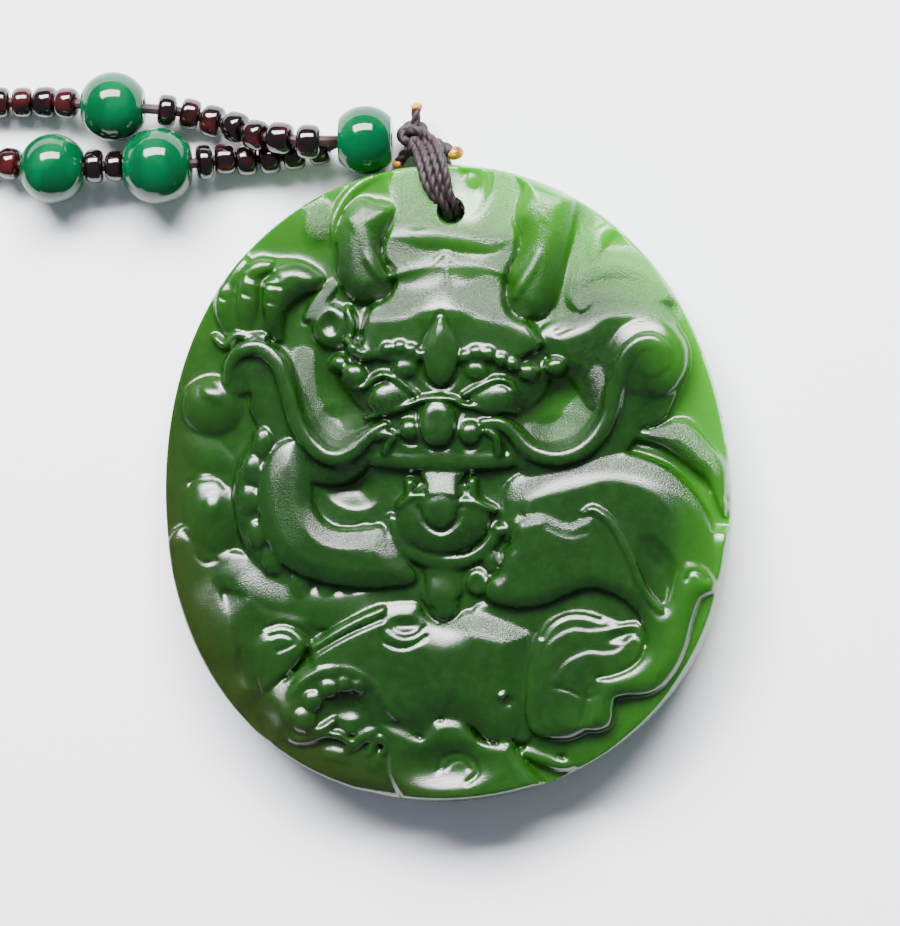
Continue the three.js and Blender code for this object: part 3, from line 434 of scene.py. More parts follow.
class Carving:
    """The face's height on a square grid, and how matt it is left there."""

    def __init__(self):
        self.xs = np.arange(-GRID_HALF_WIDE, GRID_HALF_WIDE + CHISEL_STEP, CHISEL_STEP)
        self.ys = np.arange(-GRID_HALF_TALL, GRID_HALF_TALL + CHISEL_STEP, CHISEL_STEP)
        self.x, self.y = np.meshgrid(self.xs, self.ys)
        self.z = np.full(self.x.shape, DRAWN_GROUND)
        self.matt = np.zeros(self.x.shape)

    def window(self, low, high):
        """The part of the grid between two corners."""
        i = np.searchsorted(self.xs, [low[0], high[0]])
        j = np.searchsorted(self.ys, [low[1], high[1]])
        return np.s_[j[0]:j[1], i[0]:i[1]]

    def nearest(self, part, curve):
        """Least distance to the curve, and the curve's further columns at that place."""
        px, py = self.x[part], self.y[part]
        best = np.full(px.shape, 1e9)
        ride = np.zeros(px.shape + (curve.shape[1] - 2,))
        for a, b in zip(curve[:-1], curve[1:]):
            d = b[:2] - a[:2]
            t = np.clip(((px - a[0]) * d[0] + (py - a[1]) * d[1]) / max(d @ d, 1e-12), 0, 1)
            q = (px - a[0] - t * d[0]) ** 2 + (py - a[1] - t * d[1]) ** 2
            closer = q < best
            best[closer] = q[closer]
            ride[closer] = a[2:] + t[closer][:, None] * (b[2:] - a[2:])
        return np.sqrt(best), ride

    def inset(self, outline, margin=0.3):
        """How far each place lies inside the smooth closed outline, less than 0 outside it."""
        curve = smooth_rows(outline, closed=True, steps=6)
        part = self.window(curve.min(axis=0) - margin, curve.max(axis=0) + margin)
        loop = np.vstack([curve, curve[:1]])
        distance, _ = self.nearest(part, loop)
        px, py = self.x[part], self.y[part]
        odd = np.zeros(px.shape, bool)
        for a, b in zip(loop[:-1], loop[1:]):
            if a[1] != b[1]:
                crossed = (a[1] > py) != (b[1] > py)
                odd ^= crossed & (px < (b[0] - a[0]) * (py - a[1]) / (b[1] - a[1]) + a[0])
        return part, np.where(odd, distance, -distance)

    def raise_to(self, part, there, z):
        """Heights brought up to z where it is higher, in the marked places of a part."""
        self.z[part] = np.where(there, np.maximum(self.z[part], z), self.z[part])

    def ridge(self, rows, drop, flat=0.0):
        """A rounded body along rows of x, y, half width and crest. It is level over its flat
        share and falls from there by drop half widths to its edge, as a quarter round does."""
        curve = smooth_rows(rows, steps=6)
        reach = curve[:, 2].max()
        part = self.window(curve.min(axis=0)[:2] - reach, curve.max(axis=0)[:2] + reach)
        distance, ride = self.nearest(part, curve)
        half = np.maximum(ride[..., 0], 1e-3)
        u = np.clip((distance / half - flat) / (1 - flat), 0, 1)
        self.raise_to(part, distance < half, ride[..., 1] - drop * half * (1 - np.sqrt(1 - u ** 2)))

    def groove(self, points, width, depth):
        """A cut with a round bottom along the points."""
        curve = smooth_rows(points, steps=6)
        part = self.window(curve.min(axis=0) - width, curve.max(axis=0) + width)
        distance, _ = self.nearest(part, curve)
        self.z[part] -= depth * np.sqrt(np.clip(1 - (2 * distance / width) ** 2, 0, 1))

    def oval_share(self, x, y, rx, ry, turn):
        """Square of each place's share of the way out of an oval that is turned by some degrees."""
        c, s = math.cos(math.radians(turn)), math.sin(math.radians(turn))
        reach = max(rx, ry)
        part = self.window((x - reach, y - reach), (x + reach, y + reach))
        dx, dy = self.x[part] - x, self.y[part] - y
        return part, ((dx * c + dy * s) / rx) ** 2 + ((dy * c - dx * s) / ry) ** 2

    def boss(self, x, y, rx, ry, turn, crest, drop):
        """A dome over an oval, falling by drop from its crest to its edge."""
        part, q = self.oval_share(x, y, rx, ry, turn)
        self.raise_to(part, q < 1, crest - drop * (1 - np.sqrt(np.clip(1 - q, 0, 1))))

    def hollow(self, x, y, rx, ry, turn, depth):
        """A soft dip over an oval, or with a depth less than 0 a soft swelling."""
        part, q = self.oval_share(x, y, rx, ry, turn)
        self.z[part] -= depth * np.clip(1 - q, 0, 1) ** 1.5

    def body(self, outline, crest, bevel, drop, power=2.2):
        """A body inside an outline, level in the middle, falling by drop over the bevel to its
        edge; the higher the power, the later and steeper it falls."""
        part, inside = self.inset(outline)
        self.raise_to(part, inside > 0, crest - drop * np.clip(1 - inside / bevel, 0, 1) ** power)

    def tilted_tooth(self, outline, crest, slope):
        """A flat body whose face falls by the slope towards the top, with a bevelled edge."""
        part, inside = self.inset(outline)
        edge = 0.3 * np.clip(1 - inside / 0.25, 0, 1) ** 2
        self.raise_to(part, inside > 0, crest - slope * self.y[part] - edge)

    def field(self, outline, floor, wall):
        """A field sunk to a floor, its wall spread over a width."""
        part, inside = self.inset(outline)
        z = self.z[part]
        self.z[part] = np.minimum(z, z + (floor - z) * eased(inside / wall))

    def terrace(self, outline, steps, wall):
        """A field whose height follows steps of (y, height), joined to what lies round it over
        a wall's width."""
        part, inside = self.inset(outline)
        y, z = np.array(steps).T
        self.z[part] += eased(inside / wall) * (np.interp(self.y[part], y, z) - self.z[part])

    def leave_matt(self, outline, soft, amount=1.0):
        """A patch that isn't polished out, fading over a soft edge."""
        part, inside = self.inset(outline, soft)
        self.matt[part] = np.maximum(self.matt[part], amount * np.clip(inside / soft + 0.5, 0, 1))

    def soften(self, width):
        """Heights averaged over a bell of that width, by way of their waves."""
        fy = np.fft.fftfreq(self.z.shape[0], CHISEL_STEP)[:, None]
        fx = np.fft.rfftfreq(self.z.shape[1], CHISEL_STEP)[None, :]
        bell = np.exp(-2 * (math.pi * width) ** 2 * (fx ** 2 + fy ** 2))
        return np.fft.irfft2(np.fft.rfft2(self.z) * bell, s=self.z.shape)


carving = Carving()

# What the rest lies on: the whole ground swells towards the middle, bands follow the lower
# rim on both sides, and a shelf lies under the paw
carving.hollow(0, 0, 24, 27, 0, -1.5)
carving.ridge([
    (24.2, -6.5, 2.4, 6.9), (23.2, -11.5, 2.8, 6.9), (20.8, -16.2, 3.0, 6.8), (17.4, -20.2, 3.0, 6.65),
    (12.5, -23.6, 2.6, 6.3)], 0.3)
carving.ridge([
    (3.2, -12.4, 1.6, 6.7), (8.0, -12.0, 1.8, 6.9), (12.6, -11.2, 1.8, 6.9), (16.2, -12.6, 1.7, 6.9),
    (16.6, -15.0, 1.4, 6.9)], 0.25)
carving.ridge([(7.2, -14.0, 1.0, 6.8), (6.6, -18.0, 1.0, 6.7), (6.2, -22.5, 1.0, 6.4)], 0.25)
carving.ridge([
    (-23.9, -6.0, 2.0, 5.9), (-22.8, -11.6, 2.3, 6.1), (-20.2, -16.8, 2.4, 6.4),
    (-17.2, -20.8, 2.4, 6.5), (-12.4, -24.6, 2.3, 6.4), (-4.0, -26.6, 2.0, 6.1)], 0.3)
carving.ridge([
    (-24.2, -8.8, 1.8, 5.6), (-19.6, -8.2, 1.8, 6.1), (-14.4, -11.2, 1.8, 6.4), (-9.0, -11.6, 1.6, 6.5),
    (-4.0, -10.2, 1.4, 6.5)], 0.3)

# Forehead and the field above it: one rounded slope from the brows up to the hole, left matt,
# with a thin arched edge across it
carving.terrace([
    (-8.3, 12.8), (-8.0, 14.6), (-7.2, 16.0), (-5.9, 16.6), (-5.3, 17.7), (-5.3, 18.7), (-6.3, 20.1),
    (-6.4, 21.0), (-6.1, 22.1), (-5.5, 23.5), (-5.3, 24.8), (-5.9, 26.5), (-5.5, 28.7), (-2.5, 29.4),
    (1.5, 29.3), (5.2, 28.4), (6.2, 26.6), (5.7, 24.5), (5.7, 23.3), (6.1, 21.8), (5.9, 20.4),
    (5.2, 19.0), (4.9, 17.5), (5.0, 16.1), (5.6, 15.0), (7.0, 14.4), (8.0, 13.2), (8.3, 12.0),
    (5.4, 10.6), (-0.8, 10.2), (-7.6, 10.8)],
    [(11, 8.4), (14.6, 8.3), (15.4, 8.1), (17.2, 7.15), (17.9, 7.05), (19.3, 7.1), (20.4, 6.5),
     (22.0, 6.65), (22.8, 6.25), (24, 5.7), (26, 5.0), (27.5, 4.6), (29, 4.3)], 0.5)
carving.ridge([
    (-5.2, 18.5, 0.35, 7.3), (-3.7, 18.9, 0.4, 7.2), (-1.9, 19.3, 0.4, 7.1), (-0.6, 20.3, 0.35, 6.9),
    (0.6, 19.5, 0.4, 7.05), (2.6, 19.3, 0.4, 7.1), (4.5, 18.7, 0.35, 7.25)], 0.9)
carving.ridge([(-0.4, 19.9, 0.2, 7.05), (-0.4, 18.9, 0.25, 7.3), (-0.3, 17.9, 0.2, 7.2)], 0.8)
carving.ridge([
    (-4.6, 22.2, 0.4, 6.4), (-3.0, 21.9, 0.8, 6.75), (-1.0, 21.8, 0.9, 6.75), (1.4, 21.5, 0.9, 6.75),
    (3.2, 21.0, 0.7, 6.65), (4.6, 20.6, 0.4, 6.5)], 0.35)
carving.hollow(-0.8, 16.2, 3.6, 2.6, 0, -0.5)
carving.hollow(-3.4, 24.3, 1.5, 2.2, 20, 0.35)
carving.hollow(4.0, 23.6, 1.3, 2.4, -15, 0.3)
carving.ridge([
    (0.9, 28.3, 0.4, 5.0), (2.2, 28.3, 0.55, 5.1), (3.0, 27.2, 0.6, 5.15), (2.8, 25.6, 0.6, 5.3),
    (1.9, 23.9, 0.6, 5.8), (0.4, 22.6, 0.5, 6.1), (-1.3, 22.2, 0.3, 6.15)], 0.6)
carving.boss(1.9, 26.9, 0.9, 1.0, 0, 5.0, 0.4)
carving.leave_matt([
    (6.0, 28.6), (6.4, 27.0), (9.0, 26.4), (11.4, 25.4), (13.0, 23.8), (15.0, 22.6), (14.4, 25.0),
    (10.4, 27.6)], 1.0)
for patch in [
        [(-5.4, 22.8), (-5.2, 25.0), (-5.6, 27.4), (-3.0, 28.0), (-1.4, 26.0), (0.2, 23.6), (2.0, 23.2),
         (3.4, 24.8), (3.6, 27.6), (5.2, 27.6), (5.9, 26.0), (5.5, 23.6), (5.6, 21.6), (3.4, 21.4),
         (1.2, 21.9), (-1.0, 22.3), (-3.4, 22.8)],
        [(-5.2, 19.1), (-6.2, 20.2), (-6.2, 21.6), (-4.4, 21.4), (-2.2, 20.7), (0.4, 20.4), (2.4, 19.9),
         (4.0, 20.6), (5.6, 21.6), (5.4, 19.2), (4.4, 18.7), (2.2, 19.5), (0.7, 19.8), (-0.4, 20.5),
         (-1.5, 20.3), (-3.0, 19.7)],
        [(-5.2, 17.5), (-3.2, 17.2), (-1.4, 17.5), (-0.4, 18.6), (0.5, 17.6), (2.2, 18.3), (4.2, 18.5),
         (4.8, 17.0), (5.4, 15.6), (6.6, 14.5), (4.2, 14.3), (2.6, 14.8), (0.6, 15.8), (-0.9, 16.9),
         (-2.6, 15.7), (-4.2, 14.8), (-6.0, 14.5), (-7.4, 15.0), (-6.4, 15.8)]]:
    carving.leave_matt(patch, 1.0, 0.85)
carving.leave_matt([
    (-6.2, 20.2), (-6.2, 21.6), (-5.4, 23.4), (0.0, 23.2), (5.5, 23.4), (5.6, 21.6), (5.2, 19.0),
    (4.8, 17.0), (4.2, 15.6), (0.4, 17.0), (-3.6, 16.0), (-5.2, 17.4), (-5.2, 18.9)], 0.8, 0.2)

# The two horns, broad at the root and hooked at the top, with a sharper crest down the inside
carving.body([
    (-9.8, 24.05), (-9.1, 24.85), (-8.0, 25.4), (-7.15, 25.1), (-6.35, 25.0), (-5.4, 24.7),
    (-5.35, 24.05), (-5.75, 23.05), (-6.2, 21.95), (-6.5, 20.85), (-6.35, 20.05), (-5.85, 19.05),
    (-5.25, 18.65), (-5.35, 17.65), (-5.95, 16.7), (-6.9, 16.15), (-8.0, 15.95), (-9.1, 16.3),
    (-9.95, 17.25), (-10.35, 18.35), (-10.5, 20.3), (-10.35, 22.25)], 7.5, 1.9, 1.15, 1.5)
carving.ridge([
    (-8.9, 23.4, 0.5, 7.5), (-8.0, 22.2, 0.7, 7.6), (-7.5, 20.6, 0.75, 7.65), (-6.9, 19.2, 0.7, 7.65),
    (-6.2, 18.2, 0.5, 7.5)], 0.35)
carving.ridge([(-7.8, 21.0, 0.25, 7.6), (-7.3, 19.7, 0.35, 7.9), (-6.5, 18.4, 0.3, 7.7)], 0.7)
carving.groove([(-7.9, 15.75), (-6.9, 16.1), (-6.0, 16.7), (-5.4, 17.6), (-5.25, 18.6)], 0.5, 0.3)
carving.ridge([
    (-10.75, 21.6, 0.35, 5.8), (-10.5, 24.0, 0.4, 5.8), (-9.4, 25.8, 0.4, 5.6), (-8.0, 26.9, 0.4, 5.4),
    (-6.2, 27.8, 0.35, 5.2)], 0.8)
carving.body([
    (5.85, 27.45), (6.4, 26.35), (5.85, 24.65), (5.7, 23.5), (6.25, 21.85), (5.95, 20.4), (5.25, 19.0),
    (5.0, 17.6), (5.0, 16.2), (5.7, 15.05), (6.8, 14.55), (7.95, 14.65), (8.95, 15.65), (9.65, 17.6),
    (10.05, 19.85), (10.5, 21.55), (10.9, 23.8), (10.9, 25.5), (10.35, 26.05), (8.5, 26.6),
    (6.8, 27.3)], 7.3, 1.9, 1.15, 1.5)
carving.ridge([
    (6.5, 23.7, 0.3, 7.0), (7.1, 24.4, 0.45, 7.2), (7.8, 24.5, 0.5, 7.3), (8.3, 23.5, 0.5, 7.4),
    (9.3, 22.5, 0.35, 7.2)], 0.7)
carving.ridge([
    (7.8, 20.4, 0.35, 7.45), (7.1, 19.0, 0.5, 7.6), (6.2, 17.6, 0.5, 7.55), (5.7, 16.6, 0.3, 7.3)], 0.5)
carving.groove([
    (4.95, 17.7), (4.95, 16.2), (5.65, 14.95), (6.8, 14.45), (8.0, 14.55), (9.0, 15.6)], 0.5, 0.3)
carving.leave_matt([
    (-10.0, 23.6), (-7.6, 24.8), (-6.2, 23.4), (-6.6, 19.6), (-6.0, 17.4), (-8.4, 16.6),
    (-9.8, 18.4)], 1.0, 0.4)
carving.leave_matt([
    (6.6, 25.4), (10.4, 25.4), (10.2, 21.6), (8.8, 16.4), (6.4, 15.4), (5.8, 18.2),
    (6.6, 21.6)], 1.0, 0.4)

# Upper right: a matt field that falls to the rim, and the broad ear behind the whisker's curl
carving.terrace([
    (9.9, 16.0), (9.9, 18.0), (10.3, 20.0), (10.8, 22.0), (11.1, 24.0), (11.0, 26.4), (14.0, 25.0),
    (17.5, 22.0), (20.3, 18.4), (19.6, 15.6), (16.5, 15.5), (14.0, 15.5), (11.5, 14.5)], [(15, 6.9),
    (17, 6.35), (19, 5.75), (21, 5.2), (23, 4.85), (26, 4.5)], 0.9)
carving.ridge([
    (12.6, 20.0, 0.5, 5.8), (13.0, 21.6, 0.9, 5.6), (14.2, 22.6, 0.7, 5.3),
    (15.4, 22.4, 0.4, 5.1)], 0.5)
carving.ridge([
    (11.2, 17.6, 0.5, 6.4), (13.0, 18.8, 0.8, 6.3), (15.4, 18.9, 0.9, 6.2),
    (18.0, 17.6, 0.6, 6.1)], 0.5)
carving.leave_matt([
    (10.9, 26.0), (11.0, 23.0), (10.4, 20.0), (9.8, 17.4), (8.6, 14.6), (10.8, 14.0), (13.5, 14.8),
    (16.4, 15.0), (19.2, 14.6), (20.4, 15.0), (19.4, 18.4), (16.6, 20.6), (14.6, 20.8), (13.0, 21.4),
    (12.8, 24.0), (12.4, 25.6)], 1.0)
carving.body([
    (7.9, 13.6), (9.2, 14.5), (10.5, 14.9), (11.6, 15.4), (12.7, 16.6), (15.0, 17.0), (17.2, 16.8),
    (18.9, 15.9), (20.05, 14.2), (20.6, 12.0), (20.6, 9.7), (20.05, 7.5), (18.9, 5.5), (17.2, 4.9),
    (15.0, 4.9), (12.6, 6.4), (10.6, 9.0), (8.6, 11.0), (7.8, 12.4)], 7.1, 2.0, 0.8, 1.2)
carving.groove([(9.4, 13.4), (11.2, 14.3), (12.6, 15.6), (14.6, 16.0), (17.0, 15.7)], 0.7, 0.2)
carving.boss(17.5, 11.1, 3.7, 3.7, 0, 7.9, 1.1)
carving.hollow(17.3, 6.9, 2.4, 1.6, 0, 0.35)

# The left ear: a ring with a hollow, and the matt patches beside it
carving.ridge([(-13.0, 14.8, 0.5, 6.2), (-12.1, 16.0, 0.7, 6.4), (-10.9, 17.4, 0.5, 6.2)], 0.7)
carving.boss(-10.95, 13.9, 1.75, 2.1, 10, 6.9, 0.8)
carving.hollow(-11.0, 14.1, 1.0, 1.3, 10, 0.7)
carving.ridge([(-9.35, 15.4, 0.35, 7.2), (-9.0, 14.2, 0.45, 7.3), (-9.1, 12.9, 0.35, 7.3)], 0.8)
carving.hollow(-12.2, 23.2, 1.7, 2.4, -10, -0.8)
carving.leave_matt([(-13.4, 22.6), (-12.6, 24.8), (-11.0, 24.8), (-11.0, 22.0), (-12.2, 21.6)], 0.8)
carving.leave_matt([
    (-13.6, 14.0), (-13.0, 15.6), (-11.8, 17.2), (-10.6, 18.2), (-10.6, 16.4), (-12.2, 14.6)], 0.6)

# The raised claw at the upper left: palm, fingers that point down, and their knuckle cuts
carving.body([
    (-21.6, 15.6), (-20.4, 17.6), (-18.6, 19.4), (-16.6, 19.9), (-14.4, 19.9), (-12.4, 19.2),
    (-11.6, 18.2), (-12.2, 17.2), (-13.8, 16.2), (-15.0, 14.9), (-15.6, 13.0), (-18.0, 12.6),
    (-20.6, 13.2)], 6.0, 1.6, 0.7)
carving.body([
    (-16.3, 18.6), (-15.4, 19.5), (-13.9, 19.7), (-12.5, 19.1), (-11.6, 18.2), (-12.2, 17.2),
    (-13.8, 16.4), (-15.0, 15.2), (-15.4, 13.6), (-16.8, 13.4), (-16.9, 16.0)], 7.0, 1.3, 0.8, 1.5)
carving.ridge([
    (-16.2, 17.4, 0.85, 7.1), (-16.2, 15.6, 0.85, 7.0), (-16.0, 13.9, 0.8, 6.6),
    (-15.7, 13.0, 0.5, 6.3)], 0.7)
carving.ridge([(-18.3, 17.6, 0.95, 6.9), (-18.5, 15.6, 0.95, 6.8), (-18.5, 14.1, 0.8, 6.3)], 0.7)
carving.ridge([(-20.5, 17.0, 0.8, 6.3), (-20.7, 15.6, 0.9, 6.2), (-20.6, 14.5, 0.7, 5.9)], 0.6)
carving.ridge([(-18.3, 18.6, 0.8, 6.6), (-17.4, 19.2, 0.8, 6.8), (-16.6, 19.4, 0.6, 6.7)], 0.7)
carving.ridge([(-20.2, 17.6, 0.6, 6.1), (-19.6, 18.7, 0.7, 6.1), (-18.9, 19.6, 0.6, 6.0)], 0.6)
for knuckle in [
        [(-16.8, 17.6), (-15.3, 17.45)], [(-18.2, 18.15), (-17.6, 17.9)],
        [(-18.9, 16.9), (-18.2, 16.6)], [(-21.0, 16.6), (-20.5, 16.3)],
        [(-16.6, 16.1), (-15.9, 15.95)]]:
    carving.groove(knuckle, 0.4, 0.22)

# Cloud puffs along the left edge
carving.boss(-21.7, 6.7, 3.0, 2.8, 0, 6.2, 1.4)
carving.hollow(-21.6, 7.8, 1.5, 0.9, -30, -0.35)
carving.ridge([(-24.6, 4.2, 1.4, 5.0), (-22.5, 2.6, 2.2, 5.4), (-20.6, 1.6, 1.2, 5.4)], 0.4)
carving.boss(-21.9, -3.4, 2.6, 4.2, 5, 6.2, 1.5)
carving.hollow(-21.6, -2.4, 1.1, 1.5, 0, -0.4)
carving.groove([(-24.4, -4.6), (-23.6, -5.5), (-23.2, -6.7), (-22.4, -7.4), (-21.5, -7.2)], 0.5, 0.2)
carving.groove([(-24.0, -0.2), (-22.8, 0.1), (-21.4, 0.1), (-20.6, -0.6)], 0.5, 0.2)

# The coiled body at the left, with a knobbed fin along its outer side
carving.ridge([
    (-16.6, 3.8, 1.1, 6.6), (-18.2, 1.0, 1.3, 6.7), (-18.6, -1.8, 1.3, 6.7), (-18.0, -4.9, 1.3, 6.5),
    (-16.5, -7.4, 1.2, 6.3), (-14.0, -9.6, 1.0, 6.1), (-11.0, -10.4, 0.8, 5.9),
    (-8.4, -10.5, 0.5, 5.8)], 0.7)
for x, y, crest in [
        (-17.1, 3.5, 7.1), (-18.0, 1.0, 7.1), (-18.3, -1.7, 7.1), (-17.6, -4.8, 7.0),
        (-16.2, -7.2, 6.9), (-13.8, -9.6, 6.5), (-11.4, -10.2, 6.3), (-9.4, -10.5, 6.2)]:
    carving.boss(x, y, 0.95, 1.3, 0, crest, 0.45)
carving.body([
    (-14.2, 3.8), (-15.7, 3.2), (-16.9, 1.6), (-17.45, -0.5), (-17.3, -3.5), (-16.4, -6.0),
    (-14.6, -8.0), (-11.6, -9.2), (-8.0, -9.65), (-4.2, -9.4), (-3.2, -8.8), (-3.6, -7.6), (-4.4, -6.6),
    (-5.4, -5.2), (-6.3, -4.0), (-7.6, -4.15), (-9.4, -4.3), (-10.8, -4.1), (-11.9, -3.2),
    (-12.5, -1.9), (-12.6, -0.4), (-12.9, 1.4), (-13.4, 2.9)], 7.8, 1.7, 0.75, 1.15)
carving.leave_matt([
    (-12.6, -1.6), (-11.4, -4.0), (-8.6, -4.4), (-6.2, -4.2), (-5.0, -6.4), (-8.6, -6.2), (-12.0, -5.2),
    (-13.4, -2.6)], 0.8, 0.5)
carving.leave_matt([
    (-15.4, 2.6), (-13.6, 2.0), (-13.2, -1.4), (-13.6, -5.4), (-15.4, -5.4), (-16.8, -2.0),
    (-16.6, 0.8)], 1.0, 0.35)
carving.hollow(-9.2, -0.4, 3.0, 2.1, -20, 1.2)
carving.groove([(-10.0, -4.0), (-9.0, -4.1), (-7.9, -3.65), (-7.0, -3.9)], 0.25, 0.2)

# The hind body at the lower left and its hooked scroll
carving.hollow(-19.6, -12.4, 5.0, 5.4, -50, -0.7)
carving.body([
    (-22.6, -12.9), (-21.2, -10.6), (-19.6, -8.9), (-18.0, -8.1), (-16.8, -8.7), (-15.6, -9.8),
    (-13.2, -10.8), (-10.0, -11.5), (-9.0, -12.4), (-11.0, -13.2), (-12.6, -14.4), (-13.5, -16.2),
    (-15.8, -18.0), (-17.3, -20.0), (-18.6, -20.8), (-20.4, -18.5), (-21.8, -15.7)], 6.7, 2.6, 1.1, 1.5)
carving.leave_matt([
    (-19.8, -9.4), (-18.2, -8.2), (-16.6, -8.8), (-14.6, -10.2), (-15.4, -11.2),
    (-18.4, -10.4)], 0.8, 0.35)
carving.hollow(-18.9, -16.6, 0.9, 2.3, 8, 0.5)
carving.body([
    (-16.6, -18.95), (-14.6, -17.3), (-13.25, -15.35), (-13.05, -14.2), (-14.1, -13.35), (-15.2, -13.0),
    (-16.6, -13.4), (-17.5, -14.1), (-18.0, -15.4), (-17.7, -17.3), (-17.2, -18.9)], 7.1, 0.8, 0.4, 1.2)
carving.groove([
    (-16.4, -13.95), (-15.4, -13.75), (-14.6, -13.95), (-14.15, -14.5), (-15.0, -15.0),
    (-15.7, -15.25)], 0.4, 0.25)
carving.groove([
    (-16.9, -13.2), (-15.5, -12.8), (-14.3, -13.05), (-13.5, -13.55), (-12.8, -14.3), (-12.8, -14.9),
    (-13.2, -15.8), (-14.1, -16.9), (-15.4, -17.9), (-16.6, -19.1)], 0.4, 0.3)

# The broad belly plate below, its lip and small scroll
carving.body([
    (-12.8, -14.6), (-11.0, -13.4), (-9.2, -12.4), (-7.6, -11.5), (-5.8, -11.0), (-3.3, -10.9),
    (-2.6, -11.7), (-1.8, -12.5), (-0.8, -12.8), (0.1, -12.5), (1.2, -11.7), (2.2, -11.7), (4.2, -12.1),
    (6.0, -12.7), (7.4, -13.4), (6.8, -15.0), (6.4, -17.5), (6.1, -20.5), (5.5, -23.0), (3.3, -23.3),
    (1.9, -22.2), (0.2, -21.3), (-1.4, -21.4), (-2.5, -22.9), (-4.5, -22.2), (-6.6, -22.0),
    (-9.0, -22.8), (-12.0, -23.0), (-14.4, -23.4), (-16.3, -23.4), (-17.7, -21.0), (-16.8, -19.2),
    (-14.4, -17.3), (-13.0, -15.8)], 7.6, 2.6, 0.95, 1.5)
carving.hollow(-17.2, -21.6, 2.2, 3.2, 35, 0.9)
carving.ridge([
    (-12.3, -14.9, 0.4, 7.3), (-10.6, -13.8, 0.45, 7.45), (-8.4, -12.6, 0.45, 7.5),
    (-6.2, -11.6, 0.4, 7.5)], 0.5, 0.5)
carving.ridge([
    (-11.8, -16.2, 0.8, 7.45), (-9.6, -15.0, 0.9, 7.6), (-7.6, -14.0, 0.9, 7.6),
    (-6.4, -13.2, 0.6, 7.6)], 0.3, 0.6)
carving.groove([
    (-12.0, -15.2), (-10.8, -14.45), (-9.0, -13.5), (-7.5, -12.85), (-6.3, -12.35)], 0.4, 0.3)
carving.groove([(-6.3, -12.35), (-5.75, -11.3)], 0.35, 0.2)
carving.leave_matt([
    (-1.6, -12.8), (0.2, -12.4), (2.2, -11.8), (4.6, -12.3), (7.0, -13.4), (6.6, -14.6),
    (3.0, -13.8)], 0.8, 0.6)
carving.hollow(-4.3, -12.9, 1.6, 0.85, 0, 0.7)
carving.groove([
    (-6.2, -13.3), (-6.1, -14.2), (-5.3, -14.7), (-4.2, -14.85), (-3.2, -14.5),
    (-2.3, -13.9)], 0.45, 0.3)
carving.groove([(-5.9, -13.0), (-5.0, -13.7), (-4.0, -13.9), (-3.0, -13.6), (-2.4, -13.0)], 0.35, 0.25)
carving.hollow(4.9, -19.6, 1.0, 0.8, -20, 0.45)
carving.boss(4.6, -19.1, 0.5, 0.3, 20, 7.9, 0.25)

# The beaded shell, and the leaves, ball and cloud along the lower edge
carving.hollow(-10.3, -20.4, 4.4, 3.2, 12, 0.9)
carving.ridge([
    (-14.9, -21.6, 0.4, 7.3), (-14.4, -19.5, 0.45, 7.5), (-13.3, -17.9, 0.5, 7.65),
    (-11.3, -17.0, 0.5, 7.75), (-9.1, -16.95, 0.5, 7.8), (-7.0, -18.2, 0.45, 7.75),
    (-5.6, -20.2, 0.4, 7.7), (-4.9, -21.2, 0.3, 7.6)], 0.5)
for x, y, size in [(-13.3, -21.4, 1.2), (-12.5, -19.7, 1.0), (-11.1, -18.6, 0.95), (-9.6, -18.1, 0.9),
                   (-8.3, -18.3, 0.7)]:
    carving.boss(x, y, size, size, 0, 7.95, 0.7 * size)
carving.hollow(-9.2, -20.3, 1.9, 1.3, 0, 0.6)
carving.ridge([
    (-14.8, -22.4, 0.35, 7.2), (-14.1, -23.2, 0.4, 7.2), (-12.8, -23.2, 0.4, 7.2),
    (-11.6, -22.8, 0.4, 7.3), (-10.2, -22.9, 0.4, 7.2), (-9.1, -23.6, 0.35, 6.9)], 0.9)
carving.ridge([(-13.0, -22.6, 0.3, 7.3), (-11.6, -22.2, 0.35, 7.5), (-10.6, -21.5, 0.3, 7.3)], 0.7)
carving.body([
    (-14.6, -23.8), (-12.4, -23.6), (-10.4, -23.6), (-9.0, -24.2), (-8.2, -25.6), (-9.2, -27.0),
    (-11.6, -26.8), (-13.8, -25.6)], 6.0, 0.9, 0.5)
carving.ridge([
    (-12.2, -24.5, 0.5, 6.4), (-11.0, -24.6, 0.7, 6.6), (-9.7, -25.0, 0.6, 6.5),
    (-8.8, -26.0, 0.5, 6.2)], 0.6)
carving.ridge([(-14.2, -25.0, 0.4, 5.6), (-13.4, -25.6, 0.6, 5.7), (-12.2, -26.4, 0.4, 5.5)], 0.6)
carving.ridge([
    (-9.4, -24.2, 0.35, 6.7), (-8.5, -23.4, 0.6, 6.9), (-7.5, -22.7, 0.6, 7.0),
    (-6.7, -22.3, 0.35, 6.9)], 0.7)
carving.ridge([
    (-7.5, -24.6, 0.35, 6.6), (-7.0, -23.6, 0.45, 6.9), (-6.5, -23.1, 0.45, 7.0),
    (-5.9, -23.7, 0.4, 6.9), (-6.2, -24.5, 0.3, 6.7)], 0.7)
carving.boss(-6.9, -25.3, 1.4, 1.2, 20, 6.5, 0.7)
carving.body([
    (-7.0, -21.7), (-5.5, -21.8), (-4.4, -22.1), (-3.4, -22.7), (-2.7, -23.0), (-2.2, -22.4),
    (-1.7, -21.6), (-0.8, -21.3), (0.3, -21.3), (1.1, -21.6), (1.8, -22.4), (2.4, -23.1), (3.2, -23.4),
    (4.2, -23.4), (5.4, -23.3), (6.0, -24.4), (9.4, -29.4), (3.9, -30.6), (1.0, -30.8), (-1.5, -30.8),
    (-3.6, -29.8), (-5.6, -26.4), (-5.8, -23.6)], 7.15, 0.8, 0.4, 1.0)
carving.hollow(-0.4, -25.4, 5.6, 2.4, 3, 0.8)
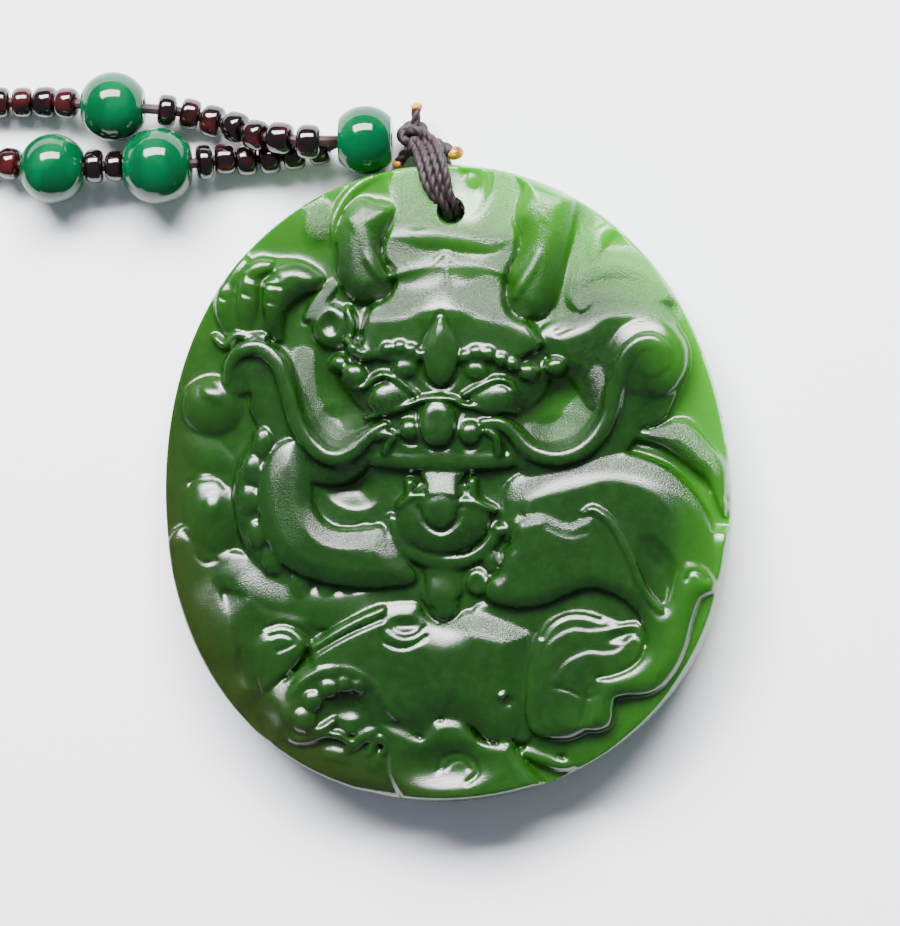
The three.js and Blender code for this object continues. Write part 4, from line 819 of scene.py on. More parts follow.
carving.groove([
    (-1.25, -26.0), (-0.95, -25.1), (-0.2, -24.55), (0.9, -24.5), (2.1, -25.2), (2.3, -26.2),
    (1.4, -27.0)], 0.5, 0.25)
carving.groove([(-0.6, -25.8), (0.1, -25.1), (1.1, -25.1), (1.5, -25.8)], 0.4, 0.2)
carving.body([
    (6.1, -24.3), (6.8, -23.75), (8.3, -24.2), (9.8, -24.8), (11.3, -25.0), (11.0, -25.7), (9.7, -26.0),
    (8.0, -25.6), (6.6, -24.9)], 6.2, 0.7, 0.4, 1.2)

# The body that arches down the right side under its fin
carving.body([
    (14.2, 4.15), (14.9, 4.75), (17.5, 4.75), (19.2, 5.2), (20.3, 5.6), (21.5, 5.1), (23.0, 3.5),
    (24.4, 1.6), (24.5, -1.2), (24.3, -3.0), (22.8, 0.2), (21.5, 1.2), (20.0, 2.3), (18.6, 3.2),
    (17.3, 3.6), (15.6, 3.75)], 7.0, 1.5, 0.7, 1.2)
carving.groove([(14.6, 3.75), (17.0, 3.5), (19.0, 2.9), (21.2, 1.4), (23.2, -0.8)], 0.5, 0.3)
carving.leave_matt([
    (17.6, 4.6), (20.3, 5.4), (22.6, 3.4), (24.0, 1.4), (23.6, 0.4), (21.0, 2.6),
    (18.6, 3.8)], 0.5, 0.8)
carving.body([
    (4.6, -0.9), (5.1, 0.0), (6.1, 0.75), (7.6, 1.3), (9.6, 1.8), (11.2, 2.2), (12.6, 2.6), (14.0, 2.8),
    (16.0, 2.6), (18.3, 1.9), (20.0, 0.9), (21.7, -0.8), (22.9, -2.9), (23.6, -5.6), (23.7, -8.8),
    (23.0, -10.0), (22.2, -10.3), (19.8, -10.6), (18.4, -11.4), (14.0, -8.0), (8.0, -6.0), (4.2, -5.0),
    (4.2, -2.6)], 7.8, 2.7, 1.15, 1.15)
carving.leave_matt([
    (5.2, -1.0), (7.8, 0.8), (11.0, 1.8), (14.0, 2.4), (17.0, 2.0), (20.0, 0.6), (22.4, -1.6),
    (23.6, -4.4), (22.6, -3.4), (20.4, -1.0), (17.0, 0.6), (13.4, 0.9), (9.4, 0.2),
    (6.0, -1.6)], 0.7, 0.6)
carving.hollow(18.7, -7.4, 1.6, 3.6, 30, 0.9)

# The foreleg in front of it: shoulder, elbow and wrist down to the innermost finger
carving.body([
    (5.3, -3.7), (6.3, -2.8), (8.1, -2.5), (9.4, -3.0), (10.6, -3.4), (11.6, -2.7), (12.7, -2.15),
    (13.6, -2.4), (14.6, -3.6), (15.6, -5.2), (16.4, -6.8), (17.2, -8.8), (18.0, -10.4), (18.8, -11.2),
    (19.3, -10.4), (19.7, -8.9), (20.2, -7.4), (20.8, -6.5), (21.8, -6.9), (23.1, -7.9), (23.6, -9.4),
    (22.3, -10.4), (21.6, -12.3), (20.9, -14.9), (19.7, -17.2), (17.9, -18.8), (15.0, -19.2),
    (14.6, -20.0), (14.4, -21.4), (13.6, -22.1), (12.2, -22.2), (11.7, -21.2), (12.15, -19.8),
    (12.7, -18.2), (13.3, -16.95), (14.7, -16.75), (16.1, -16.2), (17.2, -15.2), (17.5, -13.9),
    (17.0, -12.3), (16.1, -11.1), (15.0, -10.3), (13.9, -9.85), (12.4, -9.5), (10.5, -10.1),
    (8.5, -11.0), (6.4, -11.3), (4.6, -11.15), (3.1, -10.4), (3.3, -8.8), (4.2, -7.9), (4.6, -6.3),
    (5.2, -5.4)], 8.15, 1.3, 0.6, 1.6)
carving.ridge([
    (11.9, -2.7, 0.25, 8.2), (12.8, -2.4, 0.35, 8.4), (14.3, -3.6, 0.35, 8.45),
    (15.9, -6.4, 0.35, 8.45), (17.3, -9.6, 0.35, 8.4), (18.7, -11.3, 0.3, 8.3)], 0.9)
carving.leave_matt([
    (6.2, -3.2), (8.1, -2.6), (10.6, -3.5), (12.4, -2.6), (12.0, -3.9), (10.4, -4.3), (8.4, -3.6),
    (6.8, -3.9)], 0.5, 0.5)
carving.groove([(12.0, -4.3), (10.8, -4.6), (9.6, -4.3), (8.6, -3.8)], 0.8, 0.15)
carving.groove([(5.4, -4.3), (5.9, -3.7), (6.4, -3.0)], 0.5, 0.2)
carving.groove([(21.0, -8.6), (21.4, -7.9), (22.1, -7.9), (22.9, -8.5)], 0.4, 0.25)

# The paw: the other fingers lie in steps beside the first and curl down to the shelf
carving.body([
    (13.4, -11.9), (12.0, -11.5), (10.4, -11.55), (8.8, -12.3), (7.7, -13.7), (7.0, -15.9),
    (6.65, -18.7), (6.7, -21.4), (7.8, -22.8), (11.0, -22.9), (13.0, -21.0), (14.5, -16.0),
    (17.5, -14.0)], 7.3, 0.6, 0.3, 1.6)
carving.body([
    (16.8, -12.6), (14.4, -12.9), (12.4, -13.1), (11.0, -13.0), (9.7, -13.5), (8.5, -14.6),
    (8.0, -16.4), (7.7, -18.8), (7.9, -21.2), (8.9, -22.3), (11.8, -22.2), (13.4, -18.0),
    (17.0, -15.0)], 7.5, 0.25, 0.2, 1.5)
carving.body([
    (17.3, -14.4), (16.0, -13.6), (15.0, -14.8), (13.8, -15.1), (12.4, -15.0), (11.2, -15.4),
    (10.2, -16.0), (9.3, -17.4), (8.95, -19.9), (9.3, -21.6), (10.4, -22.2), (11.9, -22.0),
    (12.4, -19.6), (13.4, -17.4), (16.6, -16.0)], 7.72, 0.3, 0.2, 1.5)
carving.groove([(12.3, -18.2), (12.0, -19.8), (11.6, -21.4)], 0.4, 0.3)
carving.groove([(13.1, -17.4), (14.4, -17.2), (15.9, -16.6), (16.9, -15.6), (17.3, -14.4)], 0.35, 0.35)
carving.groove([(13.4, -12.3), (11.9, -11.9), (10.4, -11.95), (9.0, -12.7), (8.1, -13.9)], 0.35, 0.3)
carving.hollow(15.2, -13.6, 1.6, 0.7, 20, 0.5)
carving.groove([(9.4, -18.3), (10.4, -18.5), (11.4, -18.95)], 0.4, 0.2)
carving.groove([(12.4, -19.3), (13.1, -18.8)], 0.4, 0.2)
carving.ridge([
    (6.4, -22.9, 0.7, 5.8), (9.0, -23.5, 1.0, 6.0), (12.0, -23.5, 1.1, 6.0), (15.0, -22.6, 1.0, 5.9),
    (17.6, -20.8, 0.8, 5.6)], 0.4)

# The skirts that the whiskers stand on, and the bowls inside their bends, left matt
carving.ridge([
    (-7.4, 3.4, 1.4, 7.4), (-9.9, 1.7, 1.9, 7.1), (-12.2, 2.0, 2.2, 6.9), (-14.4, 4.0, 2.5, 6.7),
    (-15.6, 6.6, 2.6, 6.6), (-16.8, 8.8, 2.6, 6.5), (-18.4, 9.6, 2.2, 6.4),
    (-19.4, 9.0, 1.4, 6.1)], 0.3)
carving.ridge([
    (6.4, 2.6, 1.4, 7.4), (8.4, 1.8, 1.7, 7.2), (10.6, 1.9, 1.9, 7.1), (12.8, 2.8, 2.1, 7.0),
    (14.6, 5.0, 2.2, 6.9), (15.8, 7.6, 2.2, 7.0), (17.2, 9.4, 2.0, 7.2)], 0.3)
carving.hollow(-10.4, 8.0, 3.0, 4.6, 8, 1.2)
carving.hollow(-10.9, 4.9, 1.9, 2.2, -20, 0.6)
carving.hollow(9.8, 7.0, 3.3, 4.0, -10, 1.2)
carving.hollow(9.6, 4.6, 2.6, 1.6, 10, 0.6)
carving.leave_matt([
    (-14.4, 11.6), (-12.6, 11.8), (-12.4, 9.4), (-12.0, 7.0), (-10.2, 4.9), (-8.6, 4.4), (-8.8, 3.2),
    (-10.6, 2.9), (-12.4, 4.3), (-13.7, 7.5)], 0.6)
carving.leave_matt([
    (6.8, 5.2), (7.4, 3.9), (9.0, 3.1), (11.0, 3.3), (12.8, 4.9), (13.6, 8.2), (13.2, 10.4),
    (12.0, 9.6), (11.0, 7.6), (9.0, 5.4)], 0.6)

# The head: its sides and cheeks under the eyes
carving.boss(-0.6, 9.6, 9.4, 5.2, 0, 8.0, 1.9)
carving.boss(-0.9, 4.6, 6.6, 4.6, 0, 8.0, 1.6)

# The drop-shaped gem between the brows, and the brows as rows of beads
carving.body([
    (-0.9, 14.9), (-0.2, 13.8), (0.45, 12.6), (0.7, 11.5), (0.6, 10.5), (0.2, 9.4), (-0.3, 8.8),
    (-0.9, 8.6), (-1.5, 8.8), (-2.05, 9.4), (-2.4, 10.5), (-2.5, 11.5), (-2.25, 12.6),
    (-1.6, 13.8)], 8.85, 0.3, 0.35, 1.5)
carving.body([
    (-0.9, 14.1), (-0.2, 12.9), (0.2, 11.6), (0.1, 10.4), (-0.4, 9.4), (-0.9, 9.2), (-1.4, 9.4),
    (-1.9, 10.4), (-2.0, 11.6), (-1.6, 12.9)], 9.05, 0.35, 0.3, 1.5)
carving.groove([
    (-2.7, 10.6), (-2.35, 9.3), (-1.5, 8.6), (-0.8, 8.45), (-0.1, 8.6), (0.5, 9.4),
    (0.8, 10.4)], 0.4, 0.35)
carving.groove([
    (-2.5, 10.4), (-2.65, 11.5), (-2.4, 12.7), (-1.7, 13.9), (-0.9, 15.1), (-0.1, 13.9), (0.6, 12.6),
    (0.9, 11.5), (0.75, 10.4)], 0.35, 0.3)
carving.ridge([
    (-9.3, 12.6, 0.4, 8.0), (-8.5, 11.8, 0.5, 8.3), (-7.6, 11.3, 0.5, 8.4), (-6.6, 11.5, 0.5, 8.5),
    (-5.5, 12.0, 0.5, 8.5), (-4.4, 12.2, 0.5, 8.6), (-3.4, 11.85, 0.5, 8.6),
    (-2.6, 11.4, 0.4, 8.5)], 0.9)
carving.ridge([
    (0.9, 11.3, 0.4, 8.5), (1.7, 11.7, 0.5, 8.6), (2.7, 11.9, 0.5, 8.6), (3.7, 11.7, 0.5, 8.5),
    (4.7, 11.2, 0.5, 8.4), (5.8, 10.8, 0.4, 8.2)], 0.9)
for x, y, size in [
        (-5.6, 11.9, 0.6), (-4.5, 12.1, 0.6), (-3.5, 11.8, 0.6), (-2.8, 11.4, 0.45),
        (-7.8, 11.4, 0.6), (-8.8, 12.0, 0.55), (1.3, 11.3, 0.5), (2.25, 11.6, 0.65),
        (3.4, 11.5, 0.65), (4.55, 10.95, 0.65), (5.6, 10.5, 0.6)]:
    carving.boss(x, y, size, size, 0, 8.95, 0.8 * size)
carving.boss(-4.1, 10.1, 1.15, 0.85, 0, 8.7, 0.6)
carving.boss(2.3, 9.95, 1.1, 0.8, -8, 8.7, 0.6)
carving.boss(-8.7, 9.6, 1.15, 1.0, -10, 8.3, 0.7)
carving.boss(-10.2, 10.6, 0.9, 0.8, 20, 7.6, 0.6)
carving.boss(6.95, 9.8, 0.9, 0.85, 0, 8.3, 0.7)
carving.boss(9.3, 10.3, 1.05, 0.9, 0, 7.8, 0.7)

# The eyes in their sockets, each with an upper and a lower lid
carving.field([
    (-7.5, 7.0), (-7.2, 8.6), (-6.0, 9.3), (-4.4, 8.7), (-2.9, 7.4), (-4.4, 6.3),
    (-6.8, 5.6)], 7.4, 0.5)
carving.field([
    (0.9, 7.3), (2.6, 8.3), (4.2, 8.95), (5.5, 8.4), (5.9, 6.7), (4.6, 6.2), (2.4, 6.6)], 7.4, 0.5)
carving.boss(-5.5, 7.4, 2.05, 1.55, 8, 8.6, 0.75)
carving.boss(3.75, 7.4, 2.05, 1.4, 8, 8.6, 0.75)
carving.ridge([
    (-9.9, 9.2, 0.2, 7.6), (-8.9, 8.5, 0.25, 8.0), (-7.8, 8.5, 0.25, 8.2), (-7.0, 9.2, 0.25, 8.4),
    (-5.9, 9.6, 0.28, 8.6), (-4.4, 8.9, 0.28, 8.6), (-3.0, 7.8, 0.25, 8.5)], 0.9)
carving.ridge([
    (1.2, 7.8, 0.25, 8.5), (2.6, 8.6, 0.28, 8.6), (4.1, 9.2, 0.28, 8.6), (5.3, 8.9, 0.25, 8.4),
    (5.9, 8.0, 0.2, 8.2)], 0.9)
carving.ridge([
    (-7.7, 5.7, 0.2, 8.1), (-6.0, 6.2, 0.26, 8.5), (-4.4, 6.65, 0.28, 8.7), (-3.3, 7.1, 0.28, 8.8),
    (-2.3, 7.45, 0.28, 8.8), (-1.0, 7.55, 0.28, 8.8), (0.3, 7.4, 0.28, 8.8), (1.0, 6.95, 0.28, 8.7),
    (2.4, 6.7, 0.26, 8.6), (4.2, 6.5, 0.26, 8.4), (5.6, 6.3, 0.2, 8.1)], 0.9)

# The nose, its nostrils with their scrolls, and the upper lip
carving.ridge([(-1.2, 5.6, 1.75, 9.0), (-1.2, 4.9, 1.8, 9.1)], 0.5, 0.4)
carving.boss(-3.75, 4.7, 1.0, 1.0, 0, 8.8, 0.8)
carving.boss(1.75, 4.4, 1.05, 1.1, 0, 8.8, 0.8)
carving.groove([
    (-3.2, 6.6), (-2.95, 5.4), (-2.7, 4.2), (-2.2, 3.3), (-1.2, 2.85), (-0.3, 3.1), (0.25, 4.0),
    (0.5, 5.2), (1.0, 6.4)], 0.4, 0.4)
carving.groove([(-4.6, 5.4), (-4.9, 4.6), (-4.4, 3.7), (-3.6, 3.4), (-3.0, 3.5)], 0.4, 0.3)
carving.groove([
    (0.7, 3.9), (1.1, 3.2), (1.8, 2.95), (2.5, 3.4), (3.0, 4.2), (3.9, 4.3), (4.5, 4.1)], 0.4, 0.3)
carving.ridge([
    (-6.7, 4.0, 0.35, 8.2), (-5.8, 4.3, 0.4, 8.4), (-5.2, 4.0, 0.4, 8.4), (-5.6, 3.4, 0.35, 8.3),
    (-5.9, 2.7, 0.35, 8.1)], 0.9)
carving.ridge([
    (3.2, 4.6, 0.35, 8.4), (4.0, 4.1, 0.4, 8.4), (4.2, 3.2, 0.4, 8.2), (4.3, 2.6, 0.35, 8.1)], 0.9)
carving.ridge([
    (-6.8, 2.0, 0.7, 7.4), (-4.0, 1.9, 0.9, 7.8), (-0.8, 2.0, 1.0, 8.0), (2.4, 1.9, 0.9, 7.8),
    (5.0, 1.9, 0.7, 7.4)], 0.5)

# The long whiskers that swing out below the eyes and curl at their ends
carving.ridge([
    (-5.9, 5.1, 0.4, 8.2), (-7.2, 4.3, 0.65, 8.2), (-8.4, 3.1, 0.8, 8.1), (-9.9, 2.2, 0.85, 8.0),
    (-11.5, 2.4, 0.85, 7.9), (-13.0, 3.8, 0.85, 7.8), (-14.1, 5.9, 0.85, 7.7), (-14.8, 8.4, 0.85, 7.6),
    (-15.6, 10.6, 0.85, 7.5), (-17.2, 11.9, 0.85, 7.3), (-19.0, 11.7, 0.75, 7.1),
    (-20.1, 10.5, 0.6, 6.7), (-20.4, 9.0, 0.4, 6.3)], 0.65, 0.3)
carving.ridge([
    (2.9, 5.35, 0.4, 8.3), (4.5, 5.2, 0.6, 8.3), (5.7, 4.3, 0.7, 8.2), (6.7, 3.1, 0.8, 8.2),
    (8.1, 2.4, 0.85, 8.2), (9.9, 2.25, 0.85, 8.2), (11.7, 2.9, 0.85, 8.1), (13.1, 4.2, 0.85, 8.0),
    (14.1, 6.1, 0.85, 7.9), (14.6, 8.4, 0.85, 7.9), (15.2, 10.3, 0.9, 8.1), (16.3, 11.9, 0.9, 8.2),
    (17.6, 12.5, 0.9, 8.3), (18.7, 11.9, 0.9, 8.2), (18.9, 10.7, 0.8, 8.0)], 0.65, 0.3)
carving.boss(17.7, 11.1, 1.7, 1.8, 0, 8.2, 0.5)
carving.ridge([
    (-21.5, 12.9, 0.3, 6.0), (-20.6, 12.2, 0.45, 6.2), (-19.6, 13.1, 0.4, 6.3), (-18.2, 13.0, 0.4, 6.4),
    (-16.9, 13.0, 0.35, 6.5)], 0.9)

# The open mouth: lower lip, the pearl held in it, teeth, fangs and the beard
carving.field([
    (-5.2, 1.0), (-2.8, 1.25), (1.0, 1.2), (4.2, 0.9), (4.8, -1.5), (4.4, -4.2), (3.2, -6.0),
    (0.5, -7.2), (-2.6, -7.0), (-4.9, -5.6), (-6.2, -2.6), (-6.6, 0.0)], 6.4, 0.8)
carving.ridge([
    (-5.4, -3.4, 0.5, 7.1), (-4.7, -5.4, 0.6, 7.2), (-3.0, -6.75, 0.65, 7.2), (-0.8, -7.2, 0.7, 7.2),
    (1.4, -7.0, 0.65, 7.2), (3.1, -5.9, 0.6, 7.2), (4.2, -4.3, 0.6, 7.2)], 0.5)
carving.boss(-0.75, -3.3, 4.2, 3.2, 0, 8.1, 1.1)
carving.boss(-0.9, -2.5, 1.75, 2.0, 0, 8.5, 0.7)
carving.groove([
    (-2.9, -2.3), (-2.4, -3.4), (-1.7, -4.1), (-0.9, -4.4), (-0.1, -4.1), (0.6, -3.3),
    (0.75, -2.3)], 0.5, 0.5)
carving.tilted_tooth([
    (-2.6, 0.75), (-1.8, 1.1), (0.1, 1.1), (1.0, 0.85), (0.75, -0.2), (0.65, -1.3), (-0.6, -1.15),
    (-2.1, -1.15), (-2.3, -0.2)], 8.0, 0.42)
carving.leave_matt([
    (-2.6, 0.75), (-1.8, 1.1), (0.1, 1.1), (1.0, 0.85), (0.65, -1.3), (-2.1, -1.15)], 0.3, 0.25)
carving.groove([(0.6, 0.5), (0.62, -0.5), (0.68, -1.4)], 0.35, 0.3)
carving.groove([(1.2, 0.3), (1.22, -0.8), (1.05, -1.5), (0.95, -2.2)], 0.35, 0.3)
carving.ridge([(1.9, 0.0, 0.5, 8.0), (2.1, -1.2, 0.3, 7.9)], 0.8)
carving.ridge([(-3.7, -0.1, 0.5, 8.0), (-3.9, -1.3, 0.3, 7.9)], 0.8)
carving.ridge([(-4.8, -2.2, 0.35, 7.8), (-3.6, -1.3, 0.4, 8.0), (-2.6, -1.2, 0.35, 8.0)], 0.9)
carving.ridge([(1.2, -1.7, 0.35, 8.0), (2.4, -1.9, 0.4, 8.0), (3.8, -2.5, 0.35, 7.8)], 0.9)
carving.ridge([(-0.9, -8.4, 2.0, 7.0), (-0.9, -10.0, 1.95, 7.3), (-0.7, -11.2, 1.3, 7.2)], 0.55)
carving.groove([(-2.6, -8.2), (-2.45, -9.7), (-1.95, -11.0), (-1.3, -11.9)], 0.4, 0.25)
carving.groove([(0.2, -10.9), (0.9, -10.3)], 0.35, 0.2)
carving.boss(2.35, -9.0, 1.15, 1.25, 0, 7.2, 0.7)
carving.hollow(2.2, -9.0, 0.6, 0.9, 0, 0.4)
carving.boss(3.5, -7.1, 0.7, 1.1, 10, 7.2, 0.6)
carving.boss(4.4, -4.3, 0.7, 0.6, 0, 7.6, 0.5)


# Polishing rounds every edge a little and leaves broad soft skirts round the raised bodies
EDGE_ROUND = 0.10
SKIRT_WIDE = 0.6
SKIRT_SHARE = 0.35
polished = (1 - SKIRT_SHARE) * carving.soften(EDGE_ROUND) + SKIRT_SHARE * carving.soften(SKIRT_WIDE)


def sample(field, x, y):
    """Value of a field of the carving's grid at any places, straight between its neighbours."""
    u = (x / PLAQUE_WIDE * DRAWN_WIDE - DRAWN_MIDDLE[0] - carving.xs[0]) / CHISEL_STEP
    v = (y / PLAQUE_TALL * DRAWN_TALL - DRAWN_MIDDLE[1] - carving.ys[0]) / CHISEL_STEP
    i = np.clip(u.astype(int), 0, field.shape[1] - 2)
    j = np.clip(v.astype(int), 0, field.shape[0] - 2)
    a, b = u - i, v - j
    low = field[j, i] * (1 - a) + field[j, i + 1] * a
    high = field[j + 1, i] * (1 - a) + field[j + 1, i + 1] * a
    return low * (1 - b) + high * b


def face_height(share, x, y):
    """The carving's height, but never over the quarter round in which the face meets the rim."""
    t = np.clip((1 - share) * min(PLAQUE_WIDE, PLAQUE_TALL) / 2 / RIM_ROLL, 0, 1)
    roll = RIM_TOP + (GROUND + CARVING - RIM_TOP) * np.sqrt(1 - (1 - t) ** 2)
    z = sample(polished, x, y) + GROUND - DRAWN_GROUND
    return np.minimum(np.minimum(z, roll), PLAQUE_THICK)


CHANNEL_DEEP = 1.5  # the channel behind the hole, where the cord passes
CHANNEL_LEFT = 0.75  # its middle from the hole's
CHANNEL_HALF = 3.0
CHANNEL_BELOW = 3  # how far it runs on below the hole
CHANNEL_FADE = 2  # width over which it ends


def back_height(share, x, y):
    """Level in the middle, lifting nearly straight towards the edge, with the cord's channel."""
    lift = BACK_RISE * np.clip((share - BACK_FLAT) / (1 - BACK_FLAT), 0, 1) ** 1.1
    near = 1 - (np.abs(x - HOLE_RIGHT + CHANNEL_LEFT) - CHANNEL_HALF) / CHANNEL_FADE
    along = (y - HOLE_UP + CHANNEL_BELOW) / CHANNEL_FADE
    return np.maximum(lift, CHANNEL_DEEP * eased(near) * eased(along))


MESH_RINGS = 168
EDGE_LEVELS = (3.7, 2.8, BACK_RISE + 0.15)  # heights of the rings down the edge
BACK_SHARES = (0.994, 0.96, 0.88, 0.84, 0.78, 0.66, BACK_FLAT)  # shares of the back's rings


def plaque_surface():
    """Ring k of the face has 6 k points, so all its triangles are of a size. Further rings run
    down the edge and over the back to its middle."""
    rings = np.arange(1, MESH_RINGS + 1)
    k = np.repeat(rings, 6 * rings)
    s = np.arange(len(k)) - 3 * k * (k - 1)
    share = np.concatenate([[0], k / MESH_RINGS])
    angle = np.concatenate([[0], 2 * math.pi * s / (6 * k)])
    x, y = on_oval(share, angle)
    face = np.column_stack([x, y, face_height(share, x, y)])

    def place(ring, step):
        """Number of a ring's point, counted round it; ring 0 is the middle."""
        return np.where(ring == 0, 0, 1 + 3 * ring * (ring - 1) + step % np.maximum(6 * ring, 1))

    sextant, m = s // k, s % k
    inner = place(k - 1, sextant * (k - 1) + m)
    faces = [np.column_stack([inner, place(k, s), place(k, s + 1)])]
    more = m < k - 1
    inner_next = place(k - 1, sextant * (k - 1) + m + 1)
    faces.append(np.column_stack([inner, place(k, s + 1), inner_next])[more])
    around = 6 * MESH_RINGS
    edge_angle = 2 * math.pi * np.arange(around) / around
    outline_x, outline_y = on_oval(1, edge_angle)
    rows = [np.column_stack([outline_x, outline_y, np.full(around, z)]) for z in EDGE_LEVELS]
    for back_share in BACK_SHARES:
        back_x, back_y = on_oval(back_share, edge_angle)
        rows.append(np.column_stack([back_x, back_y, back_height(back_share, back_x, back_y)]))
    below = np.arange(around) + len(face) - around
    beside = np.roll(below, -1)
    start = len(face)
    for _ in rows:
        lower = np.arange(around) + start
        next_lower = np.roll(lower, -1)
        faces.append(np.column_stack([below, lower, next_lower]))
        faces.append(np.column_stack([below, next_lower, beside]))
        below, beside = lower, next_lower
        start += around
    faces.append(np.column_stack([below, np.full(around, start), beside]))
    return np.vstack([face] + rows + [np.zeros((1, 3))]), np.vstack(faces)


def lathe(profile, around):
    """Points of a profile of (radius, height) turned round the Z axis."""
    angle = np.linspace(0, 2 * math.pi, around, endpoint=False)[None, :]
    r, h = (np.asarray(profile, float)[:, k:k + 1] for k in (0, 1))
    return np.dstack([r * np.cos(angle), r * np.sin(angle), h + 0 * angle])


plaque = add_piece("carved_plaque", [plaque_surface()], crease=75)

# The hole, drilled through and opened a little towards the face
HOLE_HALF = HOLE_WIDTH / 2
drill_profile = [(HOLE_HALF, -1), (HOLE_HALF, 5.0), (HOLE_HALF + 0.1, 5.7), (HOLE_HALF + 0.6, 12)]
drill_rings = lathe(drill_profile, 64)
drill_rings[..., 0] += HOLE_RIGHT
drill_rings[..., 1] += HOLE_UP
drill = add_piece("drill", [closed_tube(drill_rings)])
cut = plaque.modifiers.new("hole", "BOOLEAN")
cut.object = drill
cut.operation = "DIFFERENCE"
cut.solver = "EXACT"
bpy.context.view_layer.update()
drilled = bpy.data.meshes.new_from_object(plaque.evaluated_get(bpy.context.evaluated_depsgraph_get()))
plaque.modifiers.clear()
plaque.data = drilled
drilled.name = "carved_plaque"
bpy.data.objects.remove(drill)


def ramp(values, start, width):
    """Straight from 0 at the start to 1 a width further on, and level past both."""
    return np.clip((values - start) / width, 0, 1)


# What the stone shows at each place. Light that comes through the stone is painted in as a paler
# colour where it is thin: in the low ground, at the rim and at the upper right, most on the side
# of the light. The lower left rim is tinted a dull brown, and the face is matt where the carving left
# it so.
HALF_WIDE = 25.6
HALF_TALL = 28.8
FACE_ONLY = 3.0  # the matt patches stay over this height
vertex = np.empty(3 * len(drilled.vertices))
drilled.vertices.foreach_get("co", vertex)
vx, vy, vz = vertex.reshape(-1, 3).T / MM
share_out = np.hypot(vx / PLAQUE_WIDE * 2, vy / PLAQUE_TALL * 2)
# Painted light: how much paler the stone is made where light would come through it, most towards the
# light
painted_light_through = ramp(-vz, -6.9, 2.6) * 0.55 + ramp(share_out, 0.78, 0.22) * 0.6
painted_light_through += 0.35 * ramp(vy, 13, 10) * ramp(vx, -7, 8)
to_light = 0.75 * vx / HALF_WIDE + 0.66 * vy / HALF_TALL
to_lower_left = -0.8 * vx / HALF_WIDE - 0.6 * vy / HALF_TALL
shown = {
    "painted_light_through": np.clip(painted_light_through, 0, 1) * np.clip(0.5 + 0.5 * to_light, 0, 1) ** 1.6,
    # A dull brown tint towards the lower left rim, on the side away from to_light
    "skin": ramp(share_out, 0.82, 0.18) * ramp(to_lower_left, 0.35, 0.5),
    "matt": sample(carving.matt, vx, vy) * (vz > FACE_ONLY)}
for name, values in shown.items():
    layer = drilled.attributes.new(name, "FLOAT", "POINT")
    layer.data.foreach_set("value", values.astype(np.float32))


def nephrite():
    """Nephrite, ground and polished: waxy deep green, with light coming through painted in as a paler
    green where it is thin, soft clouds and flecks in it, tiny pits, and a grain where it is matt."""
    material, tree = new_material("polished_nephrite")
    painted_light_through_here, dull_brown_rim_here, matt = (
        add_node(tree, "ShaderNodeAttribute", attribute_name=name).outputs["Fac"] for name in shown)
    clouds = noise(tree, 0.11, 3, 0.55)
    flecks = noise(tree, 1.1, 4, 0.65)
    grain = noise(tree, 7.5, 2, 0.55)
    pits = add_node(tree, "ShaderNodeTexVoronoi", {"Vector": object_place(tree), "Scale": 0.7 / MM})
    deep = blend_colours(tree, spread(tree, clouds, 0.35, 0.68), "#0a2604", "#0f3006")
    flecked = blend_colours(tree, spread(tree, flecks, 0.45, 0.75, 0.0, 0.35), deep, "#174210")
    # Painted light: a paler green where light coming through the stone is painted in
    painted_light_through_colour = blend_colours(tree, painted_light_through_here, flecked, "#3a8a1c")
    colour = blend_colours(tree, dull_brown_rim_here, painted_light_through_colour, "#1c2c06")
    polish = add_node(tree, "ShaderNodeMath", {0: flecks, 1: 0.10, 2: 0.15}, operation="MULTIPLY_ADD")
    rough = add_node(tree, "ShaderNodeMix", {0: matt, 2: polish.outputs[0], 3: 0.32}, data_type="FLOAT")
    grained = bump(tree, grain, spread(tree, matt, 0.0, 1.0, 0.10, 0.6), 0.3)
    pitted = bump(tree, spread(tree, pits.outputs["Distance"], 0.0, 0.12), 0.12, 0.04, grained)
    add_shader(tree, {
        "Base Color": colour, "Roughness": rough.outputs[0], "IOR": 1.62, "Normal": pitted,
        "Subsurface Weight": 0.7, "Subsurface Radius": (0.3, 1.0, 0.2), "Subsurface Scale": 0.0025})
    return material


drilled.materials.clear()
drilled.materials.append(nephrite())
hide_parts("jade_plaque")
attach(plaque, "root")


# Bail: four strands of twisted brown polyester cord, side by side down the face, bunched in
# the hole, and back up behind the rim to the knot that holds the top bead.
STRAND = 0.8
BAIL_ACROSS = np.array([0.91, 0.41, 0.0])
KNOT_HALF = 1.7
KNOT_GAP = 0.3  # between the top bead and the knot
knot_middle = np.array([top_bead_box[1][0] + KNOT_GAP + KNOT_HALF, LEAD + 0.2, 1.8])
front = GROUND - 0.6 + CARVING * 0.08  # height of the face at the hole

